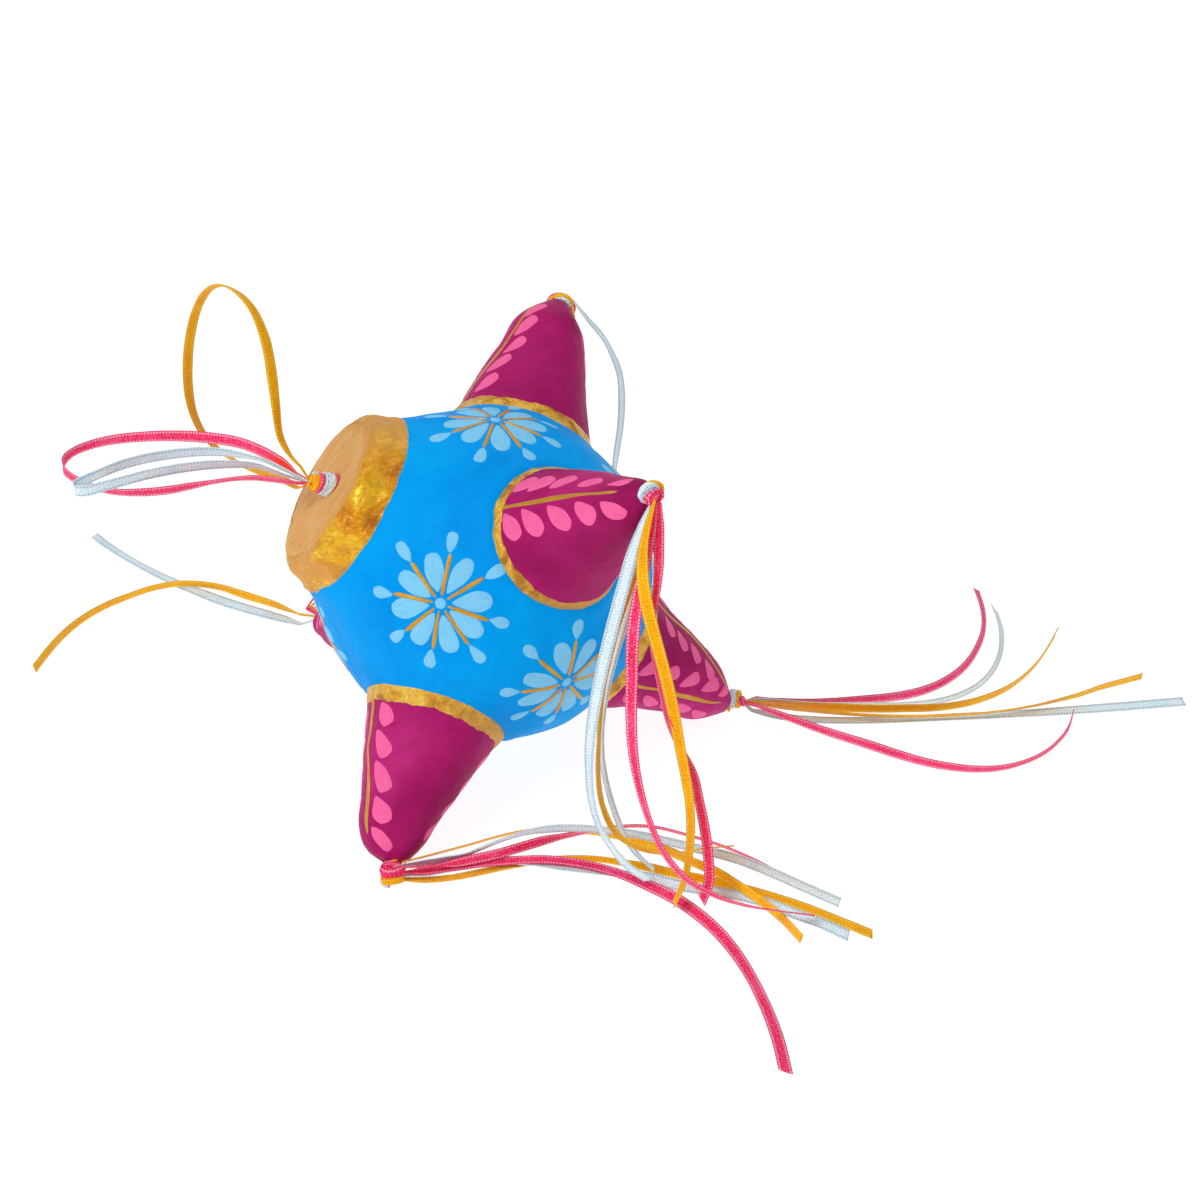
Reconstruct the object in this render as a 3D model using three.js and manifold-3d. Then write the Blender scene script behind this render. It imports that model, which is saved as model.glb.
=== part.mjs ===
// A papier mache star ornament: a hollow globe with five hollow cones glued on it, a gold
// cap on its neck, and ribbons knotted into the tip of each cone and into the cap.
// Millimetres, +Z up. The star rests on the noses of cones C, D and E, and the origin is on
// the floor under the middle of the rigid star, measured without its free ribbons.
// A piece of revolution is drawn along its own +Z and then turned to its place.

import * as THREE from 'three';
import { mergeVertices } from 'three/addons/utils/BufferGeometryUtils.js';
import Module from 'manifold-3d';

const wasm = await Module();
wasm.setup();

// Gap between two pieces that touch.
const clearance = 0.3;

// Globe and its neck.
const globe_radius = 42.7;
const globe_wall = 2.4;
const neck_radius = 24.2;
// How far the neck's rim stands out from the sphere it grows from.
const neck_rise = 4.12;
const neck_height = Math.sqrt(globe_radius ** 2 - neck_radius ** 2) + neck_rise;
const globe_segments = 44;
const globe_outer_steps = 13;
const globe_inner_steps = 9;

// Star centre above the floor.
const centre_height = 49.6;

// Cap: its side leans in from the neck to a rounded rim and a flat face.
const cap_azimuth = 180;
const cap_elevation = 35.1;
const cap_height = 8.9;
const cap_waist_radius = 22.9;
const cap_waist_height = 3.6;
const cap_rim_radius = 21.4;
const cap_rim_drop = 1.9;
const cap_shoulder_radius = 20.6;
const cap_shoulder_drop = 0.5;
const cap_face_radius = 19.2;
const cap_wall = 2.2;
const cap_segments = 40;
// The hole for the hanging knot is off the middle of the face.
const cap_hole_aside = 3.1;
const cap_hole_up = 4.2;
// The rim is uneven by hand: lobes round it, their height and the angle of the first one.
const cap_rim_broad_lobe = 0.4;
const cap_rim_narrow_lobe = 0.6;
const cap_rim_lobes = [
  { count: 5, height: cap_rim_narrow_lobe, first: 20 },
  { count: 3, height: cap_rim_broad_lobe, first: 75 },
];

// Cones: a foot fitted to the globe, a flare, a straight taper and a rounded nose.
const cone_foot_radius = 19.0;
const cone_flare_radius = 17.45;
// The flare ends just outside the sphere.
const cone_flare_rise = 0.3;
const cone_flare_height = globe_radius + cone_flare_rise;
const cone_wall = 1.8;
const cone_nose_length = 9.5;
const cone_nose_steps = 4;
const cone_nose_power = 1.4;
const cone_mouth_edge = 0.5;
const cone_mouth_wall = 2.2;
const cone_mouth_ceiling = 3.1;
const cone_segments = 24;
// C, D and E stand on the floor, so their elevation follows from their length.
const cones = {
  a: { azimuth: 69.1, elevation: 34.2, reach: 79.2, shoulder_radius: 9.8 },
  b: { azimuth: -53.8, elevation: 41.0, reach: 81.6, shoulder_radius: 8.2 },
  c: { azimuth: -115.4, reach: 78.6, shoulder_radius: 9.2 },
  d: { azimuth: 3.3, reach: 79.3, shoulder_radius: 9.0 },
  e: { azimuth: 132.1, reach: 81.0, shoulder_radius: 9.0 },
};

// Knots: a stem through the tip hole with a bulge inside that holds it, a neck, and three
// wraps on one core that ends in a small head.
const stem_radius = 1.6;
const bulge_radius = 2.5;
const bulge_length = 2.6;
const neck_core_radius = 1.1;
const head_radius = 1.8;
const head_length = 0.6;
const wrap_end_radius_share = 0.72;
const wrap_end_round = 0.5;
const knot_segments = 12;
// The knots of C, D and E lie nearly level on the floor, and A's hangs down behind its tip
// from a stem that rises out of the mouth first. Wraps run outwards from the tip.
const knots = {
  a: {
    azimuth: 80,
    elevation: -40,
    rise: 0.9,
    neck: 2.7,
    wraps: [
      { colour: 'silver', width: 1.7, radius: 2.7 },
      { colour: 'gold', width: 2.0, radius: 3.2 },
      { colour: 'pink', width: 1.6, radius: 2.8 },
    ],
  },
  b: {
    azimuth: -53.8,
    elevation: 41.0,
    neck: 0.8,
    wraps: [
      { colour: 'silver', width: 2.2, radius: 3.2 },
      { colour: 'gold', width: 1.6, radius: 3.1 },
      { colour: 'pink', width: 1.6, radius: 2.7 },
    ],
  },
  c: {
    azimuth: -95,
    elevation: 8,
    neck: 2.0,
    wraps: [
      { colour: 'pink', width: 2.2, radius: 2.6 },
      { colour: 'gold', width: 1.4, radius: 2.6 },
      { colour: 'silver', width: 1.2, radius: 2.2 },
    ],
  },
  d: {
    azimuth: 0,
    elevation: 8,
    neck: 2.0,
    wraps: [
      { colour: 'silver', width: 1.8, radius: 2.6 },
      { colour: 'gold', width: 1.2, radius: 2.4 },
      { colour: 'pink', width: 1.3, radius: 2.1 },
    ],
  },
  e: {
    azimuth: 115,
    elevation: 8,
    neck: 2.0,
    wraps: [
      { colour: 'gold', width: 1.8, radius: 2.6 },
      { colour: 'silver', width: 1.4, radius: 2.6 },
      { colour: 'pink', width: 1.4, radius: 2.2 },
    ],
  },
  cap: {
    azimuth: 180,
    elevation: 12,
    neck: 1.1,
    wraps: [
      { colour: 'silver', width: 2.2, radius: 3.0 },
      { colour: 'pink', width: 1.4, radius: 2.9 },
      { colour: 'gold', width: 2.0, radius: 2.7 },
    ],
  },
};

// Ribbon: a flat satin band with its width, its thickness and the length of a facet.
const ribbon_width = 3.2;
const ribbon_thickness = 0.34;
const ribbon_facet = 7.4;
const ribbon_fine_steps = 8;

// Ribbon routes from a knot to the free end. The band starts with its width along side and
// turns by twist degrees on the way. A fourth number leans the band by that many degrees.
const ribbons = {
  tail_a_silver_1: {
    colour: 'silver',
    side: [0.5, 0.85, 0],
    twist: 0,
    route: [
      [16.8, 61.8, 92.9], [20.8, 62.2, 86.9], [24.9, 62.7, 81], [27.4, 63, 75.5], [29.3, 62.9, 69.9],
      [30, 62.7, 62.5], [29.7, 62.3, 53.9], [28.8, 62, 46.8], [28, 61.9, 39.8], [27.1, 62.7, 33],
      [26.6, 64.3, 27.4], [27, 66.5, 20.4], [28.4, 69.5, 14], [30.8, 73.3, 8.6], [34.4, 77.9, 4.6],
      [38.8, 82.7, 2.2],
    ],
  },
  tail_a_pink_1: {
    colour: 'pink',
    side: [1, 0, 0],
    twist: 0,
    route: [
      [12.9, 61.3, 88], [12, 62.7, 78], [11, 63.1, 71], [9.8, 63.5, 64], [8.6, 63.9, 57],
      [7.4, 64.3, 50], [6.2, 64.7, 43], [5.2, 65.1, 36], [4.4, 65.7, 29], [3.8, 66.5, 22],
      [3.6, 67.9, 15.4], [3.2, 70.3, 9.4], [2.4, 74.3, 5], [1.4, 79.1, 2.6], [0.2, 83.9, 1.8],
    ],
  },
  tail_a_silver_2: {
    colour: 'silver',
    side: [1, 0, 0],
    twist: 0,
    route: [
      [13.4, 62.5, 87.4], [13, 63.7, 78], [12.4, 64.3, 71], [11.6, 64.7, 64], [10.8, 65.1, 57],
      [10, 65.5, 50], [9.4, 65.9, 43], [8.8, 66.3, 36], [8.4, 66.9, 29], [8.4, 67.9, 22],
      [8.8, 69.7, 15.6], [9.2, 72.1, 9.6], [9.4, 76.3, 5.2], [9.4, 81.1, 2.8], [9.2, 86.1, 1.8],
    ],
  },
  tail_a_gold_1: {
    colour: 'gold',
    side: [1, 0, 0],
    twist: 0,
    route: [
      [13.9, 63.5, 86.8], [14, 64.8, 78], [13.8, 65.5, 71], [13.6, 65.9, 64], [13.2, 66.3, 57],
      [13, 66.7, 50], [12.8, 67.1, 43], [12.8, 67.5, 36], [13, 68.1, 29], [13.4, 69.3, 22],
      [14.1, 71.3, 15.8], [15, 73.9, 9.6], [16.2, 77.9, 5.2], [17.4, 82.5, 2.8], [18.6, 87.3, 1.8],
    ],
  },
  tail_a_gold_2: {
    colour: 'gold',
    side: [1, 0, 0],
    twist: 0,
    route: [
      [14.3, 64.7, 86.7], [15, 65.9, 78], [15.2, 66.7, 71], [15.4, 67.1, 64], [15.6, 67.5, 57],
      [15.8, 67.9, 50], [16.2, 68.3, 43], [16.8, 68.7, 36], [17.6, 69.5, 29], [18.4, 70.9, 22],
      [19.5, 73.1, 16], [20.8, 75.9, 9.6], [22.8, 79.7, 5.2], [25, 83.9, 2.8], [27.2, 88.3, 1.8],
    ],
  },
  tail_a_pink_2: {
    colour: 'pink',
    side: [1, 0, 0],
    twist: 0,
    route: [
      [14.8, 66, 87], [16, 67.1, 78], [16.6, 67.9, 71], [17.4, 68.5, 64], [18.2, 68.9, 57],
      [19, 69.3, 50], [20, 69.7, 43], [21.2, 70.3, 36], [22.4, 71.3, 29], [23.6, 72.9, 22],
      [25.1, 75.3, 16.2], [26.8, 78.1, 9.6], [29.6, 81.7, 5.2], [32.6, 85.5, 2.8], [35.6, 89.3, 1.8],
    ],
  },
  tail_b_silver_1: {
    colour: 'silver',
    side: [1, 0, 0],
    twist: 90,
    route: [
      [26.4, -56.4, 102.3], [23.8, -56.5, 94.9], [21.7, -56.9, 88.2], [20, -57.8, 81.4],
      [18.2, -59.1, 74.8], [16.5, -60.5, 68.3], [14.8, -62.1, 61.5], [13.4, -63.5, 54.9],
      [12.2, -64.9, 48.1], [11.4, -66.3, 41.3], [11.2, -67.8, 34.5], [11.6, -69.3, 27.7],
      [13.2, -70.8, 21], [16.2, -72.1, 15], [20.3, -73.2, 9.4], [25.6, -73.6, 5],
    ],
  },
  tail_b_silver_2: {
    colour: 'silver',
    side: [1, 0, 0],
    twist: 90,
    route: [
      [27.5, -55, 100.7], [26.8, -54.7, 94.7], [25.4, -54.5, 87.9], [23.6, -54.5, 81.1],
      [21.8, -54.7, 74.4], [19.8, -55.1, 67.8], [18, -55.9, 61.1], [16.4, -56.9, 54.4],
      [15.2, -58.1, 47.6], [14.6, -59.5, 40.8], [14.8, -61.2, 33.9], [15.8, -62.9, 27.3],
      [17.4, -64.2, 20.7], [19.6, -65.5, 14.1], [22.8, -66.7, 8.2], [27.2, -67.9, 3.6],
    ],
  },
  tail_b_gold_2: {
    colour: 'gold',
    side: [1, 0, 0],
    twist: 90,
    route: [
      [26.8, -55.7, 101.4], [25.5, -55.5, 93.5], [23.8, -55.7, 85.7], [21.6, -56.5, 77.9],
      [19.2, -57.7, 70.4], [17.2, -59.1, 62.7], [15.4, -60.5, 55], [14.4, -62.1, 47.2],
      [13.8, -63.7, 39.4], [13.6, -65.5, 31.5], [14.6, -67.7, 23.7], [17.8, -69.8, 17], [23.8, -71, 13],
      [31.6, -70.5, 10.6], [39.2, -67.9, 9.4], [46.9, -66.1, 8.4],
    ],
  },
  tail_b_pink_1: {
    colour: 'pink',
    side: [1, 0, 0],
    twist: 90,
    route: [
      [27.1, -57.2, 103.2], [25.7, -57.9, 93.5], [24.4, -59.2, 85.7], [22.8, -61.5, 77.9],
      [21.6, -64.7, 70.2], [21.2, -68.1, 62.2], [20.8, -71.7, 54.2], [21, -75.1, 46], [22.2, -78.3, 38],
      [24.4, -81.3, 30], [27.6, -84.3, 22.6], [32.8, -86.7, 16], [39.6, -88.1, 11.5],
      [47.2, -89.1, 8.6], [55.4, -89.5, 6.6], [63.8, -89.3, 4.6],
    ],
  },
  tail_b_gold_1: {
    colour: 'gold',
    side: [1, 0, 0],
    twist: 40,
    route: [
      [27, -58.6, 105.3], [24.6, -59.9, 95.3], [24, -61.6, 88.6], [24.5, -63.4, 82],
      [25.8, -64.9, 75.6], [27.4, -66.3, 69.1], [29, -67.6, 62.6], [30.4, -68.9, 56.1],
      [31.6, -70, 49.6], [32.7, -71.9, 43], [33.8, -73.8, 36.5], [34.7, -75.7, 30], [34.9, -77.6, 23.3],
      [34.4, -79.5, 16.7], [33.1, -81.3, 10.2], [30.6, -82.7, 4.6],
    ],
  },
  tail_b_pink_2: {
    colour: 'pink',
    side: [1, 0, 0],
    twist: 40,
    route: [
      [28, -57.9, 104.2], [28, -58.9, 94.6], [27.9, -60.3, 87.8], [27.3, -61.6, 81.1],
      [26.4, -62.4, 74.4], [26.4, -63.3, 67.7], [27.5, -64.9, 61.1], [28.8, -66.5, 54.6],
      [30.4, -68.5, 47.9], [33, -69.9, 41.9], [35.8, -71.7, 35.9], [37.2, -73.9, 29.2],
      [38.4, -76.1, 22.6], [39.2, -78.5, 15.9], [39.2, -80.9, 9.2], [37.4, -82.9, 5.4],
    ],
  },
  tail_c_pink_1: {
    colour: 'pink',
    side: [0, 0, 1],
    twist: 0,
    route: [
      [-35, -63.5, 4.5], [-30.6, -63.5, 4.5], [-25.8, -63.2, 4.5], [-20.8, -62.5, 4.5],
      [-15.6, -61.2, 4.5], [-10.6, -59.7, 4.4], [-5.6, -57.9, 4.5], [-0.4, -56.1, 4.6],
      [5.2, -54.7, 4.8], [11.2, -53.9, 5.2], [17.2, -53.1, 5.5], [23.4, -52.9, 5.7], [29.4, -53.7, 5.4],
      [36.2, -55.7, 4.4], [43.2, -58.9, 3.7], [49.4, -62.7, 3.1], [54.8, -66.9, 2.6],
      [60.4, -71.9, 2.1], [65, -75.7, 1.8],
    ],
  },
  tail_c_pink_2: {
    colour: 'pink',
    side: [0, 1, 0],
    twist: 0,
    route: [
      [-34.8, -62.7, 2.1], [-29.2, -62.3, 2.1], [-22.2, -61.3, 2.1], [-14.6, -60.3, 2.1],
      [-6.8, -60, 2.1], [1.2, -60.3, 2.1], [8.4, -62.1, 2.1], [14.6, -64.7, 2.1], [20.4, -68.3, 2.1],
      [25.8, -72.5, 2.1], [31, -77.1, 2.1], [35.8, -82.9, 2], [40.2, -89.5, 1.6], [43.8, -97.3, 1.2],
      [46.6, -106.1, 0.8], [48.8, -116.3, 0.5], [50.2, -127.3, 0.4], [50.6, -138.3, 0.4],
    ],
  },
  tail_c_gold_1: {
    colour: 'gold',
    side: [0, 0, 1],
    twist: 0,
    route: [
      [-34.5, -61.5, 4.6], [-29.2, -59.1, 4], [-23.2, -55.6, 2.8], [-17.2, -52.4, 1.9],
      [-11.2, -49.9, 1.7], [-4.8, -48.1, 1.7], [1.8, -47.5, 1.7], [8.6, -48.1, 1.7], [15.2, -49.7, 1.7],
      [21.4, -52.1, 1.7], [27.2, -55.3, 1.7], [32.6, -59.9, 2.2], [37.8, -64.9, 2.6],
      [42.8, -70.3, 3.6], [47.6, -76.3, 3.8], [52.4, -82.3, 3.6], [56.6, -88.3, 3], [60.2, -94.9, 2.2],
    ],
  },
  tail_c_gold_2: {
    colour: 'gold',
    side: [0, 1, 0],
    twist: 0,
    route: [
      [-35.6, -63, 0.5], [-29.2, -63.9, 0.5], [-22.2, -63.5, 0.5], [-15.2, -61.9, 0.5],
      [-8.2, -60.1, 0.5], [-1.2, -58.9, 0.5], [5.8, -58.3, 0.5], [12.8, -58.9, 0.5], [19.8, -60.9, 0.5],
      [26.4, -63.3, 0.5], [32.8, -66.3, 0.5], [39.8, -69.1, 0.5], [46.8, -72.3, 0.5],
      [53.8, -75.9, 0.5], [61.8, -80.7, 0.5], [70.2, -86.9, 0.5], [77.8, -92.7, 0.5],
    ],
  },
  tail_c_silver_1: {
    colour: 'silver',
    side: [0, 0, 1],
    twist: 0,
    route: [
      [-34.7, -62.5, 4.4], [-29.8, -62.2, 4.6], [-24.4, -61.9, 5.1], [-19.2, -61.1, 5.6],
      [-14.2, -59.7, 6.7], [-9.2, -58.1, 7.6], [-3.8, -56.9, 8.4], [2.2, -56.4, 8.8], [8.8, -56.6, 8.8],
      [15.4, -57.5, 8.5], [21.8, -58.7, 8.1], [27.8, -60.3, 7.5], [33.8, -62.3, 6.8],
      [40.4, -64.3, 5.9], [47.8, -66.9, 4.9], [55.8, -71.3, 3.8], [63.8, -76.7, 2.8],
      [71.4, -81.7, 1.8],
    ],
  },
  tail_c_silver_2: {
    colour: 'silver',
    side: [0, 1, 0],
    twist: 0,
    route: [
      [-35.2, -62.9, 1.3], [-29.2, -62.9, 1.3], [-22.6, -61.5, 1.3], [-15.6, -60.1, 1.3],
      [-8.6, -59.7, 1.3], [-1.6, -60.9, 1.3], [4.8, -62.7, 1.3], [11.8, -64.5, 1.3], [18.8, -66.3, 1.3],
      [25.4, -68.3, 1.3], [31.8, -71.3, 1.3], [38.8, -73.9, 1.3], [45.8, -76.3, 1.3],
      [53.4, -79.9, 1.3], [59.8, -84.5, 1.3], [66.2, -88.9, 1.3], [71.8, -93.7, 1.3],
    ],
  },
  tail_d_pink_1: {
    colour: 'pink',
    side: [0, 0, 1],
    twist: 0,
    route: [
      [61.4, 2.9, 2.9], [64.8, 2.6, 2.2], [70.8, 2.1, 1.8], [76.8, 1.7, 1.7], [82.8, 1.6, 1.7],
      [88.8, 1.6, 1.7], [94.8, 1.8, 1.7], [100.8, 2.5, 1.7], [106.8, 4.3, 1.7], [112.3, 7.3, 1.7],
      [117.3, 11.5, 1.7], [121.6, 16.7, 1.7], [125, 22.7, 1.7], [127.8, 29.2, 1.7], [129.6, 36.2, 1.7],
      [130.4, 43.7, 1.7], [130.4, 51.5, 1.7],
    ],
  },
  tail_d_pink_2: {
    colour: 'pink',
    side: [0, 0, 1],
    twist: 0,
    route: [
      [61.4, -1.2, 3.1], [64, -3.5, 3.2], [68.2, -6.5, 3.1], [73.4, -9.7, 2.6], [78.8, -12.7, 2],
      [84.4, -15.9, 1.7], [90.2, -19.7, 1.7], [95.8, -23.5, 1.7], [101.6, -26.9, 1.7],
      [107.8, -29.5, 1.7], [114.4, -31.1, 1.7], [121.2, -31.1, 1.7], [127.8, -29.1, 1.7],
      [133.8, -25.5, 1.7], [138.8, -20.5, 1.7], [142.6, -14.9, 1.7], [144.8, -9.7, 1.7],
    ],
  },
  tail_d_silver_1: {
    colour: 'silver',
    side: [0, 0, 1],
    twist: 0,
    route: [
      [61.4, 2, 2.9], [64.8, 1.6, 2.4], [70.8, 0.7, 2], [76.8, 0.1, 1.7], [82.8, -0.3, 1.7],
      [88.8, -0.7, 1.7], [94.8, -1.1, 1.7], [100.8, -1.4, 1.7], [106.8, -1.1, 1.7], [112.8, 0.1, 1.7],
      [118.3, 2.7, 1.7], [123.4, 6.9, 1.7], [127.4, 12.3, 1.7], [130.4, 18.5, 1.7], [132.4, 25.3, 1.7],
      [133.6, 32.7, 1.7], [133.7, 41.5, 1.7],
    ],
  },
  tail_d_silver_2: {
    colour: 'silver',
    side: [0, 1, 0],
    twist: 0,
    route: [
      [60, 0.2, 0.6], [65.3, -2.3, 0.6], [70.8, -4.1, 0.5], [76.8, -5.3, 0.5], [83.8, -6.1, 0.5],
      [90.8, -6.5, 0.5], [97.8, -6.7, 0.5], [104.8, -6.7, 0.5], [112.8, -6.7, 0.5], [120.8, -6.7, 0.5],
      [128.8, -6.6, 0.5], [136.8, -6.5, 0.5], [144.8, -6.2, 0.5], [152.8, -5.8, 0.5],
      [160.8, -5.4, 0.5], [168.8, -4.9, 0.5], [176.4, -4.5, 0.5],
    ],
  },
  tail_d_gold_1: {
    colour: 'gold',
    side: [0, 0, 1],
    twist: 0,
    route: [
      [61.4, 1.1, 2.9], [64.8, 0.5, 2.8], [70.8, -0.9, 2.8], [76.8, -2.1, 2.8], [82.8, -3.1, 2.8],
      [88.8, -3.9, 2.8], [94.8, -4.5, 2.8], [100.8, -4.8, 2.8], [106.8, -4.8, 2.6], [112.8, -4.1, 2.4],
      [118.8, -2.5, 2.2], [124.8, 0.3, 2], [130.4, 4.1, 1.8], [135.4, 8.9, 1.7], [140.2, 14.7, 1.7],
      [144.4, 21.3, 1.7], [148.4, 28.5, 1.7],
    ],
  },
  tail_d_gold_2: {
    colour: 'gold',
    side: [0, 0, 1],
    twist: 0,
    route: [
      [61.4, 0.1, 2.9], [65.8, -1.2, 2.8], [71.8, -2.9, 2.8], [78.8, -4.7, 2.8], [85.8, -6.3, 2.8],
      [92.8, -7.5, 2.8], [99.8, -8.3, 2.8], [106.8, -8.7, 2.8], [113.8, -8.8, 2.8], [120.8, -8.5, 2.8],
      [127.8, -7.7, 2.8], [134.8, -6.3, 2.8], [141.8, -4.3, 2.8], [148.4, -1.7, 2.5], [154.8, 1.5, 2.2],
      [161.2, 4.1, 1.9], [167.4, 6.5, 1.7],
    ],
  },
  tail_e_pink_1: {
    colour: 'pink',
    side: [0, 0, 1],
    twist: 0,
    route: [
      [-55.8, 54.3, 2.9], [-52.4, 57.7, 2.2], [-48.6, 62.9, 1.7], [-43.8, 68.1, 1.7],
      [-38.6, 73.3, 1.7], [-32.8, 78.1, 1.7], [-26.4, 82.3, 1.7], [-19.6, 85.9, 1.7],
      [-12.4, 89.1, 1.7], [-5, 91.9, 1.7], [2.6, 94.1, 1.7], [10.4, 95.7, 1.7], [18.2, 96.5, 1.7],
      [25.8, 96.5, 1.7], [33.2, 95.5, 1.7],
    ],
  },
  tail_e_pink_2: {
    colour: 'pink',
    side: [0, 0, 1],
    twist: 0,
    route: [
      [-58.7, 54.9, 2.9], [-56.6, 61.1, 2.2], [-53.6, 68.1, 1.7], [-49.6, 75.9, 1.7],
      [-44.8, 83.5, 1.7], [-38.8, 90.1, 1.7], [-32, 96.1, 1.7], [-24.4, 101.1, 1.7],
      [-16.4, 105.3, 1.7], [-7.8, 108.7, 1.7], [1, 111.1, 1.7], [10, 112.5, 1.7], [18.8, 112.5, 1.7],
      [27.2, 111.3, 1.7], [34.8, 109.1, 1.7],
    ],
  },
  tail_e_silver_1: {
    colour: 'silver',
    side: [0, 1, 0],
    twist: 0,
    route: [
      [-60.5, 50, 0.8], [-64.6, 52.9, 0.5], [-69.4, 55.7, 0.5], [-74.4, 58.5, 0.5], [-79.4, 61.5, 0.5],
      [-84.4, 64.9, 0.5], [-89.2, 68.5, 0.5], [-93.8, 72.1, 0.5], [-98.2, 75.9, 0.5],
      [-102.6, 79.9, 0.5], [-106.8, 84.1, 0.5], [-110.8, 88.3, 0.5], [-114.4, 92.5, 0.5],
      [-117.8, 96.7, 0.5], [-120.8, 100.9, 0.5],
    ],
  },
  tail_e_silver_2: {
    colour: 'silver',
    side: [0, 0, 1],
    twist: 0,
    route: [
      [-56.6, 55.2, 2.9], [-53.7, 58.9, 2.2], [-50, 64.5, 1.7], [-45.6, 70.7, 1.7], [-40.6, 76.7, 1.7],
      [-34.8, 82.1, 1.7], [-28.2, 86.9, 1.7], [-21, 90.9, 1.7], [-13.4, 94.5, 1.7], [-5.6, 97.3, 1.7],
      [2.6, 99.5, 1.7], [11, 100.9, 1.7], [19.4, 101.3, 1.7], [27.4, 100.5, 1.7], [34.8, 98.9, 1.7],
    ],
  },
  tail_e_gold_1: {
    colour: 'gold',
    side: [0, 0, 1],
    twist: 0,
    route: [
      [-60.6, 51.4, 3.1], [-65.6, 56.1, 2.6], [-70.6, 60.5, 1.9], [-76.6, 64.5, 1.7],
      [-82.8, 67.5, 2.4], [-89.4, 69.3, 2.8], [-96.2, 69.7, 2.8], [-102.8, 68.5, 2.4],
      [-109, 66.1, 1.7], [-114.6, 62.3, 1.7], [-119.6, 57.5, 1.7], [-123.8, 51.9, 1.7],
      [-127.2, 45.7, 1.7], [-130, 39.1, 1.7], [-132.4, 32.5, 1.7],
    ],
  },
  tail_e_gold_2: {
    colour: 'gold',
    side: [0, 0, 1],
    twist: 0,
    route: [
      [-57.8, 55.4, 2.9], [-55.1, 60.1, 2.2], [-51.8, 66.3, 1.7], [-47.6, 73.3, 1.7],
      [-42.6, 80.1, 1.7], [-36.8, 86.1, 1.7], [-30, 91.3, 1.7], [-22.6, 95.9, 1.7], [-14.8, 99.7, 1.7],
      [-6.6, 102.9, 1.7], [1.8, 105.3, 1.7], [10.4, 106.7, 1.7], [19, 106.9, 1.7], [26.8, 105.7, 1.7],
      [34.4, 103.9, 1.7],
    ],
  },
  loop_gold: {
    colour: 'gold',
    side: [0.9, 0.4, 0],
    twist: 0,
    route: [
      [-55.5, -5.1, 85.5], [-57.8, -3.3, 87.6], [-60, -1.5, 91.9], [-60.7, -0.3, 100.1],
      [-61.2, 0.9, 108.1], [-62.2, 2.5, 116.7], [-64.9, 4.7, 124.4], [-68.5, 7.2, 127.9],
      [-72.4, 9.7, 128.6], [-75.8, 12.3, 126], [-79, 14.9, 119.8], [-81.5, 17.3, 110.8],
      [-82.9, 19.1, 101.6], [-83.3, 20.5, 92.8], [-82.4, 21.7, 84.8], [-80.1, 22.3, 78.6],
      [-77, 20.7, 75.6], [-73.2, 16.9, 74.8], [-68.8, 11.7, 75.4], [-64.2, 6.1, 76.6], [-60, 0.3, 78.2],
      [-56.7, -5.2, 79.2],
    ],
  },
  loop_pink: {
    colour: 'pink',
    side: [0, 0, 1],
    twist: 0,
    route: [
      [-56.6, -4.2, 82.4], [-58.6, -0.5, 82.4], [-61.9, 4.3, 82.2], [-66.1, 9.3, 81.9],
      [-71.1, 13.8, 81.6], [-77.5, 17.3, 81.1], [-83.9, 19.5, 80.7], [-90.3, 20.9, 80.3],
      [-96.7, 21.7, 79.8], [-103, 21.6, 79.4], [-108.8, 20.2, 79], [-113.2, 17.4, 78.7],
      [-115.4, 13.4, 78.5], [-115.1, 9.5, 78.5], [-112.6, 5.3, 78.6], [-108.5, 1.1, 78.9],
      [-104.4, -2.2, 79.2], [-99.8, -4.2, 79.5], [-94.1, -5.2, 79.9], [-88.4, -5.3, 80.3],
      [-83, -4.5, 80.7], [-78.1, -3.6, 81], [-72.7, -3.1, 81.4], [-67.7, -3.5, 81.8],
      [-62.7, -5.1, 82.1], [-58.3, -7.1, 82.4], [-56.6, -7.7, 82.4],
    ],
  },
  loop_silver: {
    colour: 'silver',
    side: [0, 0, 1],
    twist: 0,
    route: [
      [-56.6, -5.3, 82.8], [-58.4, -3.7, 83], [-61.4, -1.1, 83.2], [-64.8, 1.5, 83.5],
      [-68.8, 3.4, 83.8], [-73.2, 4.9, 84], [-78.2, 5.9, 84.1], [-83.6, 5.9, 84.1], [-89.3, 5, 84.1],
      [-94.9, 3.4, 84.1], [-100.2, 1, 84], [-104.9, -2.1, 83.8], [-108.6, -4.9, 83.6],
      [-110.6, -7.1, 83.5], [-110.4, -9.1, 83.5], [-107.6, -9.6, 83.7], [-103.5, -8.3, 84],
      [-98.8, -6.2, 84], [-93.8, -4, 84.1], [-88.7, -2.3, 84.1], [-83.4, -1, 84.1], [-77.5, -0.3, 84.1],
      [-71.6, -0.3, 84], [-66.2, -0.9, 83.6], [-61.9, -3.3, 83.2], [-58.4, -5.5, 83],
      [-56.6, -6.4, 82.8],
    ],
  },
};

const materials = {
  globe: new THREE.MeshStandardMaterial({ color: 0x0096eb, roughness: 0.45 }),
  cone: new THREE.MeshStandardMaterial({ color: 0xb22078, roughness: 0.45 }),
  cap: new THREE.MeshStandardMaterial({ color: 0xd9a034, roughness: 0.4, metalness: 0.6 }),
  pink: new THREE.MeshStandardMaterial({ color: 0xf5508c, roughness: 0.35 }),
  silver: new THREE.MeshStandardMaterial({ color: 0xc8dce8, roughness: 0.3 }),
  gold: new THREE.MeshStandardMaterial({ color: 0xf0a000, roughness: 0.35 }),
};

const radians = THREE.MathUtils.degToRad;
const centre = new THREE.Vector3(0, 0, centre_height);

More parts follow.
